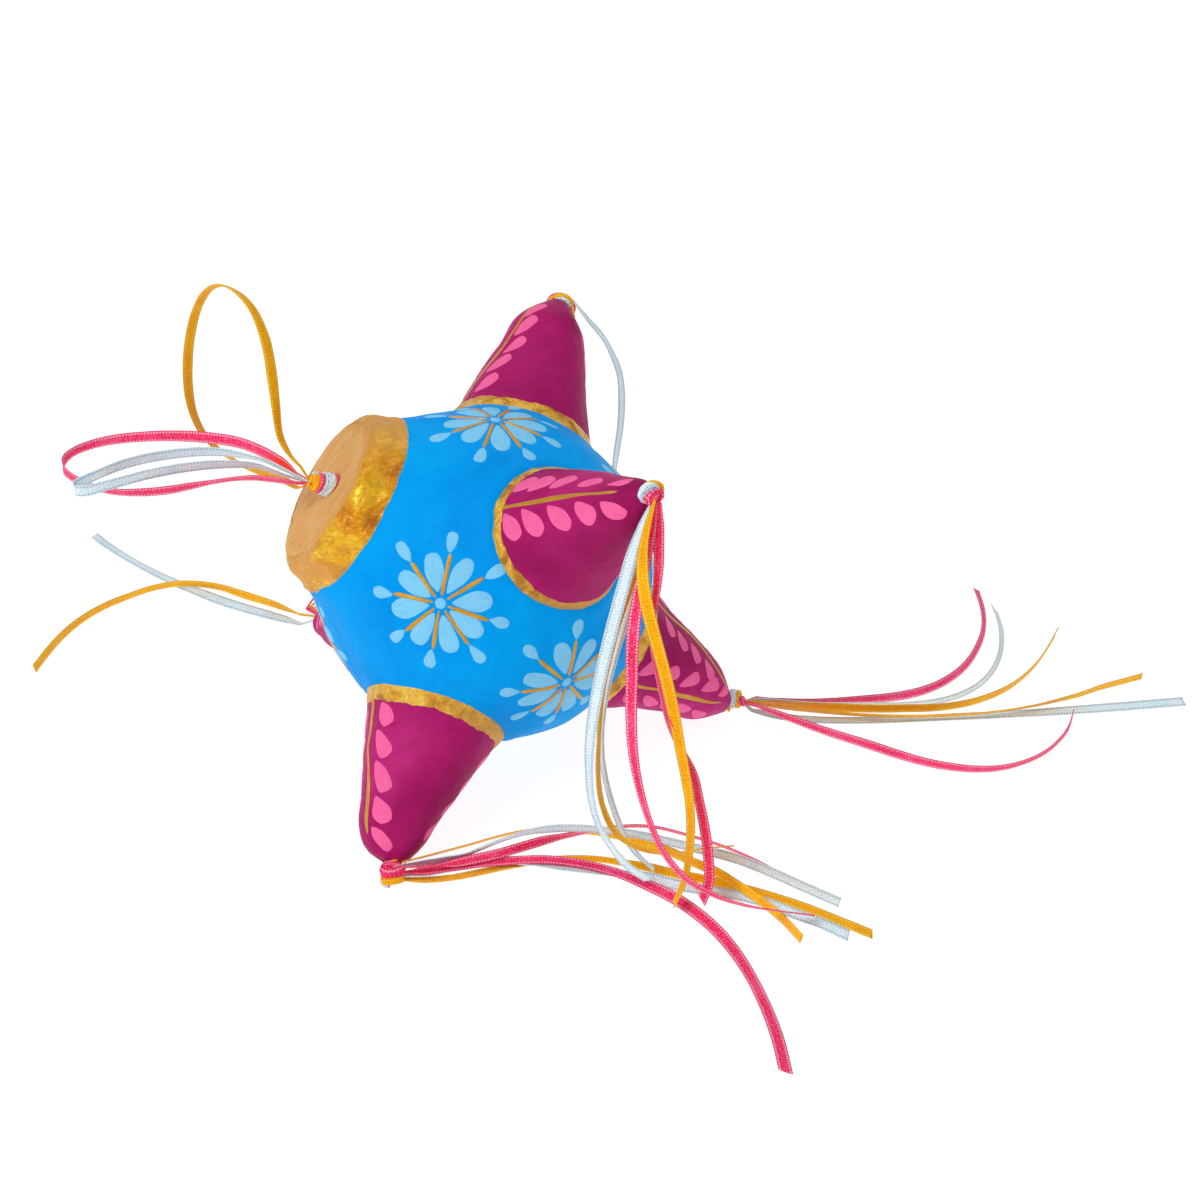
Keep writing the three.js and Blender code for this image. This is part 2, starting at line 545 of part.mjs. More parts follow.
function direction(azimuth, elevation) {
  const level = Math.cos(radians(elevation));
  return new THREE.Vector3(
    level * Math.cos(radians(azimuth)),
    level * Math.sin(radians(azimuth)),
    Math.sin(radians(elevation)),
  );
}

// Sends local +Z to the given direction, local X level and aside, and local Y upwards.
function placement(azimuth, elevation, origin) {
  const along = direction(azimuth, elevation);
  const aside = new THREE.Vector3(-Math.sin(radians(azimuth)), Math.cos(radians(azimuth)), 0);
  const up = new THREE.Vector3().crossVectors(along, aside);
  return new THREE.Matrix4().makeBasis(aside, up, along).setPosition(origin);
}

// A solid of revolution about +Z from [radius, height] points, with its first meridian on
// local -Y, which is the lowest one of a piece that points down.
function revolve(outline, segments) {
  const points = outline.map(([radius, height]) => new THREE.Vector2(radius, height));
  const geometry = new THREE.LatheGeometry(points, segments);
  geometry.rotateX(Math.PI / 2);
  return geometry;
}

function to_solid(geometry) {
  const bare = new THREE.BufferGeometry();
  bare.setAttribute('position', geometry.attributes.position);
  bare.setIndex(geometry.index);
  const merged = mergeVertices(bare, 1e-4);
  const mesh = new wasm.Mesh({
    numProp: 3,
    vertProperties: new Float32Array(merged.attributes.position.array),
    triVerts: new Uint32Array(merged.index.array),
  });
  mesh.merge();
  return new wasm.Manifold(mesh);
}

function to_geometry(solid) {
  const mesh = solid.getMesh();
  const positions = new THREE.BufferAttribute(new Float32Array(mesh.vertProperties), 3);
  const geometry = new THREE.BufferGeometry();
  geometry.setAttribute('position', positions);
  geometry.setIndex(new THREE.BufferAttribute(new Uint32Array(mesh.triVerts), 1));
  return geometry;
}

// Globe: the neck leaves the sphere on a tangent and ends in a flat rim, and the inside
// runs parallel to the outside.
function globe_piece() {
  const rim_distance = Math.hypot(neck_radius, neck_height);
  const rim_polar = Math.atan2(neck_radius, neck_height);
  const tangent_polar = rim_polar + Math.acos(globe_radius / rim_distance);
  const arc = (radius, steps) => Array.from({ length: steps + 1 }, (_, step) => {
    const polar = THREE.MathUtils.lerp(Math.PI, tangent_polar, step / steps);
    return [step === 0 ? 0 : radius * Math.sin(polar), radius * Math.cos(polar)];
  });
  const rim_thickness = globe_wall / Math.sin(tangent_polar);
  const outside = arc(globe_radius, globe_outer_steps);
  const inside = arc(globe_radius - globe_wall, globe_inner_steps).reverse();
  const rim = [[neck_radius, neck_height], [neck_radius - rim_thickness, neck_height]];
  return revolve([...outside, ...rim, ...inside], globe_segments);
}

// Cap: a cup with its open end on the neck's rim and an uneven rim round its face.
function cap_piece() {
  const seat = neck_height + clearance;
  const face = neck_height + cap_height;
  const outline = [
    [0, face - cap_wall],
    [cap_face_radius - cap_wall / 2, face - cap_wall],
    [neck_radius - cap_wall - cap_wall / 2, seat],
    [neck_radius, seat],
    [cap_waist_radius, seat + cap_waist_height],
    [cap_rim_radius, face - cap_rim_drop],
    [cap_shoulder_radius, face - cap_shoulder_drop],
    [cap_face_radius, face],
    [0, face],
  ];
  const body = revolve(outline, cap_segments);
  const places = body.attributes.position;
  for (let i = 0; i < places.count; i += 1) {
    const x = places.getX(i);
    const y = places.getY(i);
    const radius = Math.hypot(x, y);
    const rise = (places.getZ(i) - seat) / cap_height;
    if (radius < cap_face_radius - clearance) continue;
    const angle = Math.atan2(y, x);
    const lobes = cap_rim_lobes.map((lobe) => (
      lobe.height * Math.cos(lobe.count * (angle - radians(lobe.first)))
    ));
    const growth = 1 + (rise * lobes.reduce((sum, height) => sum + height, 0)) / radius;
    places.setXY(i, x * growth, y * growth);
  }
  const hole_radius = stem_radius + clearance;
  const drill = wasm.Manifold.cylinder(cap_height, hole_radius, hole_radius, knot_segments)
    .translate([cap_hole_aside, cap_hole_up, face - cap_height / 2]);
  return to_geometry(to_solid(body).subtract(drill));
}

// Height on the cone's axis where its foot, at this radius, meets the globe with a gap.
function foot_height(radius) {
  return Math.sqrt((globe_radius + clearance) ** 2 - radius ** 2);
}

// Outside of a cone as [radius, height] from its foot to its mouth.
function cone_outside({ reach, shoulder_radius }) {
  const mouth_radius = stem_radius + clearance + cone_mouth_edge;
  const shoulder_height = reach - cone_nose_length;
  const nose = Array.from({ length: cone_nose_steps + 1 }, (_, step) => {
    const share = step / cone_nose_steps;
    const fall = 1 - share ** cone_nose_power;
    const radius = mouth_radius + (shoulder_radius - mouth_radius) * fall;
    return [radius, shoulder_height + cone_nose_length * share];
  });
  return [
    [cone_foot_radius, foot_height(cone_foot_radius)],
    [cone_flare_radius, cone_flare_height],
    ...nose,
  ];
}

function cone_piece(cone) {
  const outside = cone_outside(cone);
  const hole_radius = stem_radius + clearance;
  const inner_foot_radius = cone_foot_radius - cone_wall;
  const mouth_floor = cone.reach - cone_mouth_wall;
  const outline = [
    ...outside,
    [hole_radius, cone.reach],
    [hole_radius, mouth_floor],
    [cone_mouth_ceiling, mouth_floor],
    [cone.shoulder_radius - cone_wall, cone.reach - cone_nose_length],
    [cone_flare_radius - cone_wall, cone_flare_height],
    [inner_foot_radius, foot_height(inner_foot_radius)],
    outside[0],
  ];
  return revolve(outline, cone_segments);
}

// Elevation at which the lowest point of a cone just reaches the floor.
function standing_elevation(cone) {
  const outside = cone_outside(cone);
  const depth = (angle) => Math.max(...outside.map(([radius, height]) => (
    height * Math.sin(angle) + radius * Math.cos(angle)
  )));
  let shallow = 0;
  let steep = Math.PI / 3;
  for (let i = 0; i < 40; i += 1) {
    const middle = (shallow + steep) / 2;
    if (depth(middle) < centre_height) shallow = middle;
    else steep = middle;
  }
  return -THREE.MathUtils.radToDeg(shallow);
}

// One wrap of ribbon from [radius, height] points, round an axis or round a core.
function wrap_outline(start, width, radius, inner_radius) {
  const end_radius = radius * wrap_end_radius_share;
  const outline = [
    [inner_radius, start],
    [end_radius, start],
    [radius, start + wrap_end_round],
    [radius, start + width - wrap_end_round],
    [end_radius, start + width],
    [inner_radius, start + width],
  ];
  if (inner_radius > 0) outline.push(outline[0]);
  return outline;
}

// Stem through the hole, with the bulge behind the wall and a dome outside.
function stem_outline(wall) {
  const bulge_top = -wall - clearance;
  const bulge_bottom = bulge_top - bulge_length;
  return [
    [0, bulge_bottom],
    [bulge_radius * wrap_end_radius_share, bulge_bottom],
    [bulge_radius, bulge_bottom + wrap_end_round],
    [bulge_radius, bulge_top - wrap_end_round],
    [stem_radius, bulge_top],
    [stem_radius, clearance],
    [neck_core_radius, clearance + wrap_end_round],
    [0, clearance + wrap_end_round],
  ];
}

// The three wraps of a knot: the first one carries the stem, the neck and the core.
function knot_pieces(name, knot, wall, stem_place) {
  const origin = new THREE.Vector3(0, 0, knot.rise ?? 0).applyMatrix4(stem_place);
  const place = placement(knot.azimuth, knot.elevation, origin);
  const total = knot.wraps.reduce((sum, wrap) => sum + wrap.width + clearance, knot.neck);
  const core_outline = [
    [0, 0],
    [neck_core_radius, 0],
    [neck_core_radius, total],
    [head_radius, total],
    [head_radius, total + head_length],
    [0, total + head_length],
  ];
  const stem = revolve(stem_outline(wall), knot_segments).applyMatrix4(stem_place);
  const core = revolve(core_outline, knot_segments).applyMatrix4(place);
  let start = knot.neck;
  return knot.wraps.map((wrap, i) => {
    const inner_radius = i === 0 ? 0 : neck_core_radius + clearance;
    const outline = wrap_outline(start, wrap.width, wrap.radius, inner_radius);
    let geometry = revolve(outline, knot_segments).applyMatrix4(place);
    if (i === 0) {
      const joined = to_solid(geometry).add(to_solid(core)).add(to_solid(stem));
      geometry = to_geometry(joined);
    }
    start += wrap.width + clearance;
    const mesh = new THREE.Mesh(geometry, materials[wrap.colour]);
    mesh.name = `knot_${name}_${wrap.colour}`;
    return mesh;
  });
}

// A flat band along a smooth curve. Its width is carried along without turning about the
// curve, and then turned by the twist and by the lean of each point.
function ribbon_geometry({ side, twist, route }) {
  const points = route.map(([x, y, z]) => new THREE.Vector3(x, y, z));
  const curve = new THREE.CatmullRomCurve3(points, false, 'centripetal');
  const steps = Math.max(2, Math.round(curve.getLength() / ribbon_facet));
  const fine = steps * ribbon_fine_steps;
  const width = new THREE.Vector3(...side);
  const corners = [];
  for (let i = 0; i <= fine; i += 1) {
    const share = i / fine;
    const tangent = curve.getTangentAt(share);
    width.addScaledVector(tangent, -width.dot(tangent)).normalize();
    if (i % ribbon_fine_steps !== 0) continue;
    const place = curve.getUtoTmapping(share) * (route.length - 1);
    const before = Math.min(Math.floor(place), route.length - 2);
    const lean_before = route[before][3] ?? 0;
    const lean_after = route[before + 1][3] ?? 0;
    const lean = THREE.MathUtils.lerp(lean_before, lean_after, place - before);
    const across = width.clone().applyAxisAngle(tangent, radians(twist * share + lean));
    const through = new THREE.Vector3().crossVectors(tangent, across);
    const middle = curve.getPointAt(share);
    const half_width = ribbon_width / 2;
    const half_thickness = ribbon_thickness / 2;
    for (const [a, b] of [[1, 1], [-1, 1], [-1, -1], [1, -1]]) {
      const corner = middle.clone();
      corner.addScaledVector(across, a * half_width);
      corner.addScaledVector(through, b * half_thickness);
      corners.push(corner.x, corner.y, corner.z);
    }
  }
  const faces = [0, 2, 1, 0, 3, 2];
  for (let i = 0; i < steps; i += 1) {
    for (let j = 0; j < 4; j += 1) {
      const here = i * 4 + j;
      const beside = i * 4 + ((j + 1) % 4);
      faces.push(here, beside, beside + 4, here, beside + 4, here + 4);
    }
  }
  const last = steps * 4;
  faces.push(last, last + 1, last + 2, last, last + 2, last + 3);
  const geometry = new THREE.BufferGeometry();
  geometry.setAttribute('position', new THREE.Float32BufferAttribute(corners, 3));
  geometry.setIndex(faces);
  geometry.computeVertexNormals();
  return geometry;
}

function named_mesh(name, geometry, material) {
  const mesh = new THREE.Mesh(geometry, material);
  mesh.name = name;
  return mesh;
}

// The rigid star, round its centre.
const star = new THREE.Group();
const cap_place = placement(cap_azimuth, cap_elevation, centre);
star.add(named_mesh('globe_shell', globe_piece().applyMatrix4(cap_place), materials.globe));
star.add(named_mesh('cap', cap_piece().applyMatrix4(cap_place), materials.cap));

for (const [name, cone] of Object.entries(cones)) {
  const elevation = cone.elevation ?? standing_elevation(cone);
  const cone_place = placement(cone.azimuth, elevation, centre);
  star.add(named_mesh(`cone_${name}`, cone_piece(cone).applyMatrix4(cone_place), materials.cone));
  const mouth = new THREE.Vector3(0, 0, cone.reach).applyMatrix4(cone_place);
  const stem_place = placement(cone.azimuth, elevation, mouth);
  star.add(...knot_pieces(name, knots[name], cone_mouth_wall, stem_place));
}

const cap_mouth = new THREE.Vector3(cap_hole_aside, cap_hole_up, neck_height + cap_height)
  .applyMatrix4(cap_place);
const cap_stem_place = placement(cap_azimuth, cap_elevation, cap_mouth);
star.add(...knot_pieces('cap', knots.cap, cap_wall, cap_stem_place));

// The middle of the rigid star's box goes over the origin, and the ribbons are laid there.
const box = new THREE.Box3().setFromObject(star, true);
const middle = box.getCenter(new THREE.Vector3());
star.position.set(-middle.x, -middle.y, 0);

const ornament = new THREE.Group();
ornament.name = 'papier_mache_star_ornament';
ornament.add(star);
for (const [name, ribbon] of Object.entries(ribbons)) {
  ornament.add(named_mesh(name, ribbon_geometry(ribbon), materials[ribbon.colour]));
}

export default ornament;
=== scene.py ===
import math

import bmesh
import bpy
import numpy as np
from mathutils import Matrix


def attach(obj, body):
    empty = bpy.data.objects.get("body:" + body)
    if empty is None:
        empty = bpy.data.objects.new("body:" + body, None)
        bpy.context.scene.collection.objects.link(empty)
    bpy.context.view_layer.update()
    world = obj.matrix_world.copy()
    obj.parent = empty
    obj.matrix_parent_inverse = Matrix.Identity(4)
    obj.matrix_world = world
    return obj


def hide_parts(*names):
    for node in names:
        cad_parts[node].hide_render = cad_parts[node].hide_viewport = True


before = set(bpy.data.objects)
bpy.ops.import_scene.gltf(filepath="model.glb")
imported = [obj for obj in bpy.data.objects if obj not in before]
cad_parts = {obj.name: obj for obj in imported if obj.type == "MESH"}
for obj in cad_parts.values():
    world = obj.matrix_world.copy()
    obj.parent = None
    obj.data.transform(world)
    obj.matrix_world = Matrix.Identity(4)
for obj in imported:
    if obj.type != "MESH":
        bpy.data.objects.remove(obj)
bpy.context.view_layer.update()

# Sizes below are in millimetres and become metres where a mesh or a light is made.
MM = 0.001

# Rigid star: the sizes of the part's source, but for the neck's wall, which the cap hides, and
# for the flat part of the cap's face, which is smaller because its shoulder is softer here.
STAR_CENTRE = np.array([-10.587, -2.455, 49.6])
GLOBE_RADIUS = 42.7
GLOBE_WALL = 2.4
NECK_RADIUS = 24.2
NECK_WALL = 3.6
NECK_HEIGHT = 39.3
CAP_AZIMUTH = 180.0
CAP_ELEVATION = 35.1
CAP_HEIGHT = 8.9
CAP_FACE_HEIGHT = 48.2
CAP_FACE_RADIUS = 16.2
CAP_WALL = 2.2
CAP_HOLE = (3.1, 4.2)
CONE_FOOT_RADIUS = 19.0
CONE_FOOT_DEPTH = 3.0
CONE_FLARE_RADIUS = 17.45
CONE_FLARE_HEIGHT = 43.0
CONE_WALL = 1.8
CONE_NOSE = 9.5
CONE_NOSE_POWER = 1.4
CONE_MOUTH_RADIUS = 2.4
CONE_HOLE_RADIUS = 1.9
CLEARANCE = 0.3
# Azimuth, elevation, reach from the star's centre and radius at the shoulder of each cone.
CONES = {
    "a": (69.1, 34.2, 79.2, 9.8),
    "b": (-53.8, 41.0, 81.6, 8.2),
    "c": (-115.4, -36.861, 78.6, 9.2),
    "d": (3.3, -36.532, 79.3, 9.0),
    "e": (132.1, -35.53, 81.0, 9.0),
}
# How the hand-made cones differ from even ones: angle about the axis, and how far the wall is
# pushed out there at heights along it.
DENTS = {
    "a": ((195, ((43, 0), (50, -0.3), (58, -0.8), (66, -0.8), (70, -1.3), (73, -1.8), (76, -1.3),
                 (78, 0))),
          (18, ((43, 0), (50, 0.5), (62, 0.4), (66, 0.9), (70, 1.5), (73, 1.2), (76, 0.4),
                (78, 0)))),
    "b": ((93, ((40, -1.2), (46, -1.7), (50, -2.1), (54, -2.4), (66, -2.3), (70, -2.0), (73, -1.6),
                (77, -0.9), (80, 0))),
          (270, ((40, -1.2), (46, -1.1), (50, -0.8), (54, -0.5), (58, 0))),
          (180, ((40, -1.2), (48, -1.2), (54, -0.6), (60, 0))),
          (0, ((40, -1.2), (48, -1.2), (54, -0.6), (60, 0)))),
    "c": ((159, ((43, 0), (50, 0.3), (54, 0.8), (58, 0.8), (62, 1.0), (66, 1.6), (70, 2.4),
                 (73, 2.8), (76, 3.2), (77.6, 2.6), (78.6, 0))),
          (341, ((38, -1.8), (46, -1.9), (50, -2.4), (62, -2.6), (66, -2.4), (70, -1.8),
                 (73, -1.2), (76, -0.3), (78, 0)))),
    "d": ((243, ((46, 0), (50, -0.8), (58, -1.1), (62, -1.1), (66, -0.8), (70, -0.3),
                 (73, 0))),),
    "e": ((60, ((56, 0), (62, -1.5), (70, -2.6), (76, -2.2), (80, 0))),
          (345, ((58, 0), (66, -1.4), (74, -1.8), (78, -1.0), (80, 0)))),
}

# Knots: places in them are to the right, up and towards the camera from the mouth.
# A's knot starts this far out of its mouth, along the cone.
KNOT_RISE = {"a": 0.9}
# The turns of ribbon in each knot, as the photograph shows them: colour, middle, axis, radius
# and width.
TURNS = {
    "a": (
        ("silver", (0.1, -1.7, -1.6), (0.1, -0.5, 0.85), 2.7, 1.0),
        ("gold", (0.2, -0.8, -2.6), (0.0, -0.55, 0.83), 3.1, 1.7),
        ("pink", (0.0, -1.5, -3.9), (0.0, -0.4, 0.9), 3.9, 1.9),
    ),
    "b": (
        ("silver", (0.4, -0.2, 2.4), (0.45, -0.5, 0.75), 2.55, 2.1),
        ("gold", (1.2, 0.6, 1.5), (0.1, -0.6, 0.75), 2.5, 1.0),
        ("pink", (1.7, -0.4, 1.9), (-0.3, -0.3, 0.9), 2.0, 1.4),
        ("pink", (0.8, -1.5, 3.7), (0.15, -0.6, 0.75), 1.4, 1.8),
    ),
    "c": (
        ("pink", (0.75, -1.6, 2.9), (0.08, -0.97, -0.2), 3.05, 2.9),
        ("pink", (0.2, -0.2, 1.4), (0.1, -0.9, 0.4), 2.0, 1.1),
        ("gold", (0.75, -3.4, 3.9), (0.1, -0.95, -0.25), 2.8, 1.5),
        ("gold", (0.4, 0.2, 1.0), (0.3, -0.9, 0.3), 2.1, 0.5),
        ("silver", (-1.0, -4.6, 5.1), (-0.6, -0.6, 0.5), 0.9, 0.8),
    ),
    "d": (
        ("silver", (1.8, 1.2, -1.0), (0.94, -0.3, 0.12), 2.6, 2.2),
        ("gold", (3.3, 1.3, -1.2), (0.95, -0.1, 0.25), 2.3, 1.3),
        ("gold", (0.4, -0.2, 0.1), (0.9, 0.3, 0.2), 1.7, 0.6),
        ("pink", (4.5, 0.7, -0.2), (0.9, 0.3, 0.3), 1.25, 1.4),
    ),
    "e": (
        ("gold", (1.4, 1.7, -2.9), (-0.37, 0.53, -0.64), 2.0, 1.6),
        ("silver", (1.2, 2.2, -3.9), (-0.4, 0.5, -0.64), 1.9, 1.3),
        ("pink", (1.0, 2.7, -4.8), (-0.3, 0.5, -0.7), 1.6, 1.2),
    ),
    "cap": (
        ("silver", (-1.4, -0.5, 0.3), (-0.8, 0.3, 0.5), 2.9, 2.0),
        ("silver", (-2.7, -0.3, 0.8), (-0.8, 0.25, 0.5), 2.7, 0.7),
        ("silver", (-4.3, 2.0, 1.4), (0.3, 0.9, 0.2), 0.8, 0.8),
        ("pink", (-0.5, -0.4, -0.1), (-0.8, 0.3, 0.5), 2.75, 0.7),
        ("pink", (-3.4, -0.15, 1.0), (-0.85, 0.2, 0.45), 2.5, 1.2),
        ("gold", (-4.4, -0.1, 1.3), (-0.9, 0.05, 0.4), 2.2, 2.0),
    ),
}
# Loose bits of a turn: colour, width, and the places they pass through.
LOOSE_TURNS = {
    "a": (("gold", 1.4, ((2.7, -0.2, -2.4), (3.3, -1.6, -2.2), (3.7, -3.2, -2.2),
                         (3.9, -5.0, -2.6), (3.7, -7.2, -3.5), (3.2, -9.2, -4.6))),),
    "b": (("pink", 1.9, ((2.7, -0.2, 3.3), (1.9, -0.2, 4.5), (1.1, -0.9, 5.1),
                         (0.9, -1.9, 5.1), (1.1, -3.0, 4.6))),),
    "c": (("pink", 0.8, ((0.6, -4.3, 4.6), (0.1, -4.8, 5.4), (-0.2, -5.2, 5.2),
                         (-0.1, -5.4, 4.6))),),
    "cap": (("gold", 1.6, ((-4.6, 1.9, 1.6), (-5.4, 1.0, 1.9), (-6.0, -0.2, 2.0),
                           (-6.3, -0.9, 1.9))),
            ("gold", 1.4, ((-4.7, -1.9, 1.5), (-5.4, -1.4, 2.0), (-6.1, -0.8, 2.1),
                           (-6.5, -0.5, 2.0)))),
}
# Colour of the gathered neck, and the place where the tails leave the turns.
NECKS = {"a": "silver", "b": "silver", "c": "pink", "d": "pink", "e": "gold", "cap": "pink"}
TAIL_ROOTS = {"a": (0.2, -2.0, -2.9), "b": (1.4, -1.8, 3.2), "c": (2.0, -2.8, 3.5),
              "d": (4.4, 0.6, -0.4), "e": (0.2, 2.1, -4.0), "cap": (-5.2, -0.3, 1.6)}

RIBBON_WIDTH = 3.2
RIBBON_THICKNESS = 0.3
# Length of a step along a ribbon, and how high its two edges stand above its middle.
RIBBON_STEP = 0.8
RIBBON_CUP = 0.12

# The camera the photograph was taken with, fitted to the star.
CAMERA_PLACE = np.array([-31.22, -616.17, 455.42])
CAMERA_RIGHT = (0.99682, -0.07965, 0.00275)
CAMERA_UP = (0.04227, 0.55756, 0.82906)
CAMERA_BACK = (-0.06757, -0.82630, 0.55916)
CAMERA_LENS = 86.35
CAMERA_SENSOR = 36.0
VIEW = np.array([CAMERA_RIGHT, CAMERA_UP, CAMERA_BACK])


# Small helpers

def unit(vector):
    vector = np.asarray(vector, float)
    return vector / np.linalg.norm(vector, axis=-1, keepdims=True)


def stacked(*parts):
    """Arrays that spread over each other, as the parts of one array's last axis."""
    return np.stack(np.broadcast_arrays(*parts), -1)


def circle(count):
    return np.linspace(0, 2 * math.pi, count, endpoint=False)


def look_up(place, table):
    """The value at a place, from a table of places and values."""
    places, values = zip(*table)
    return np.interp(place, places, values)


def evened(values, reach, mode, **options):
    """A running average over the neighbours within reach, padded at the ends in this mode."""
    count = 2 * reach + 1
    padded = np.pad(values, reach, mode, **options)
    return np.convolve(padded, np.ones(count) / count, "valid")


def distances(line):
    """How far along a line each of its points lies."""
    return np.concatenate([[0.0], np.cumsum(np.linalg.norm(np.diff(line, axis=0), axis=1))])


def placement(azimuth, elevation):
    """Rows are the level side, the upward side and the axis."""
    a, e = math.radians(azimuth), math.radians(elevation)
    along = np.array([math.cos(e) * math.cos(a), math.cos(e) * math.sin(a), math.sin(e)])
    aside = np.array([-math.sin(a), math.cos(a), 0.0])
    return np.array([aside, np.cross(along, aside), along])


CAP_BASIS = placement(CAP_AZIMUTH, CAP_ELEVATION)


def linear(colour):
    """A colour in 0 to 255 as the picture shows it, as linear light."""
    share = np.array(colour) / 255.0
    value = np.where(share <= 0.04045, share / 12.92, ((share + 0.055) / 1.055) ** 2.4)
    return (*value.tolist(), 1.0)


def grid(rows, columns, rows_closed=False, columns_closed=False):
    """Faces between the points of a grid, whose last row or column may join its first."""
    i, j = np.meshgrid(np.arange(rows - (not rows_closed)),
                       np.arange(columns - (not columns_closed)), indexing="ij")
    below, beside = (i + 1) % rows, (j + 1) % columns
    corners = [i * columns + j, i * columns + beside, below * columns + beside,
               below * columns + j]
    return np.stack(corners, -1).reshape(-1, 4)


def tube(rows, columns):
    """Faces round a closed section that is led along rows of points."""
    return grid(rows, columns, False, True)[:, ::-1]


# Places round a ribbon's section: over its width from -1 to 1 and back on the other face.
BAND = np.concatenate([np.linspace(-1.0, 1.0, 9), np.linspace(1.0, -1.0, 9)])
BAND_FACE = np.repeat([1, -1], 9)
BAND_SHARE = (BAND + 1) / 2
# Half the thickness of the ribbon in a knot, thinner towards its edges.
WOUND_SKIN = 0.16 * (1 - 0.4 * BAND ** 6) * BAND_FACE


def band(rows):
    """Faces of a ribbon with both faces and both ends, as a flat tube."""
    columns = len(BAND)
    faces = tube(rows, columns).tolist()
    for row, flip in ((0, False), (rows - 1, True)):
        for k in range(columns // 2 - 1):
            quad = [row * columns + n for n in (k, k + 1, columns - 2 - k, columns - 1 - k)]
            faces.append(quad[::-1] if flip else quad)
    return faces


def pose(basis, place):
    """The matrix of an object whose own axes lie along the rows of the basis."""
    matrix = np.eye(4)
    matrix[:3, :3] = np.transpose(basis)
    matrix[:3, 3] = place
    return Matrix(matrix.tolist())


def linked(name, data):
    made = bpy.data.objects.new(name, data)
    bpy.context.scene.collection.objects.link(made)
    return made


# Camera

lens = bpy.data.cameras.new("camera")
lens.lens = CAMERA_LENS
lens.sensor_width = lens.sensor_height = CAMERA_SENSOR
lens.clip_start = 0.01
lens.clip_end = 20.0
camera = linked("camera", lens)
camera.matrix_world = pose(VIEW, CAMERA_PLACE * MM)
bpy.context.scene.camera = camera
bpy.context.scene.view_settings.view_transform = "Standard"


class Shell:
    """Gathers patches of mesh, with a material number and texture places, into one object."""

    def __init__(self):
        self.points, self.faces, self.slots, self.places, self.count = [], [], [], [], 0

    def add(self, points, faces, slot=0, places=None):
        points = np.asarray(points, float).reshape(-1, 3)
        faces = np.asarray(faces, int)
        self.points.append(points)
        self.faces.extend((faces + self.count).tolist())
        self.slots.extend(np.broadcast_to(slot, len(faces)).tolist())
        self.places.append(np.zeros((len(points), 2)) if places is None else places.reshape(-1, 2))
        self.count += len(points)

    def make(self, name, materials):
        mesh = bpy.data.meshes.new(name)
        mesh.from_pydata((np.concatenate(self.points) * MM).tolist(), [], self.faces)
        for material in materials:
            mesh.materials.append(material)
        mesh.polygons.foreach_set("material_index", self.slots)
        mesh.polygons.foreach_set("use_smooth", [True] * len(mesh.polygons))
        layer = mesh.uv_layers.new(name="UVMap")
        corner = np.empty(len(mesh.loops), np.int32)
        mesh.loops.foreach_get("vertex_index", corner)
        layer.data.foreach_set("uv", np.concatenate(self.places)[corner].ravel())
        mesh.update()
        return linked(name, mesh)


def belongs(piece, node):
    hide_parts(node)
    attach(piece, "root")
    return piece


def merged(piece):
    """Joins the points that a pole has in one place."""
    work = bmesh.new()
    work.from_mesh(piece.data)
    bmesh.ops.remove_doubles(work, verts=work.verts, dist=1e-7)
    work.to_mesh(piece.data)
    work.free()
    return piece


# Materials

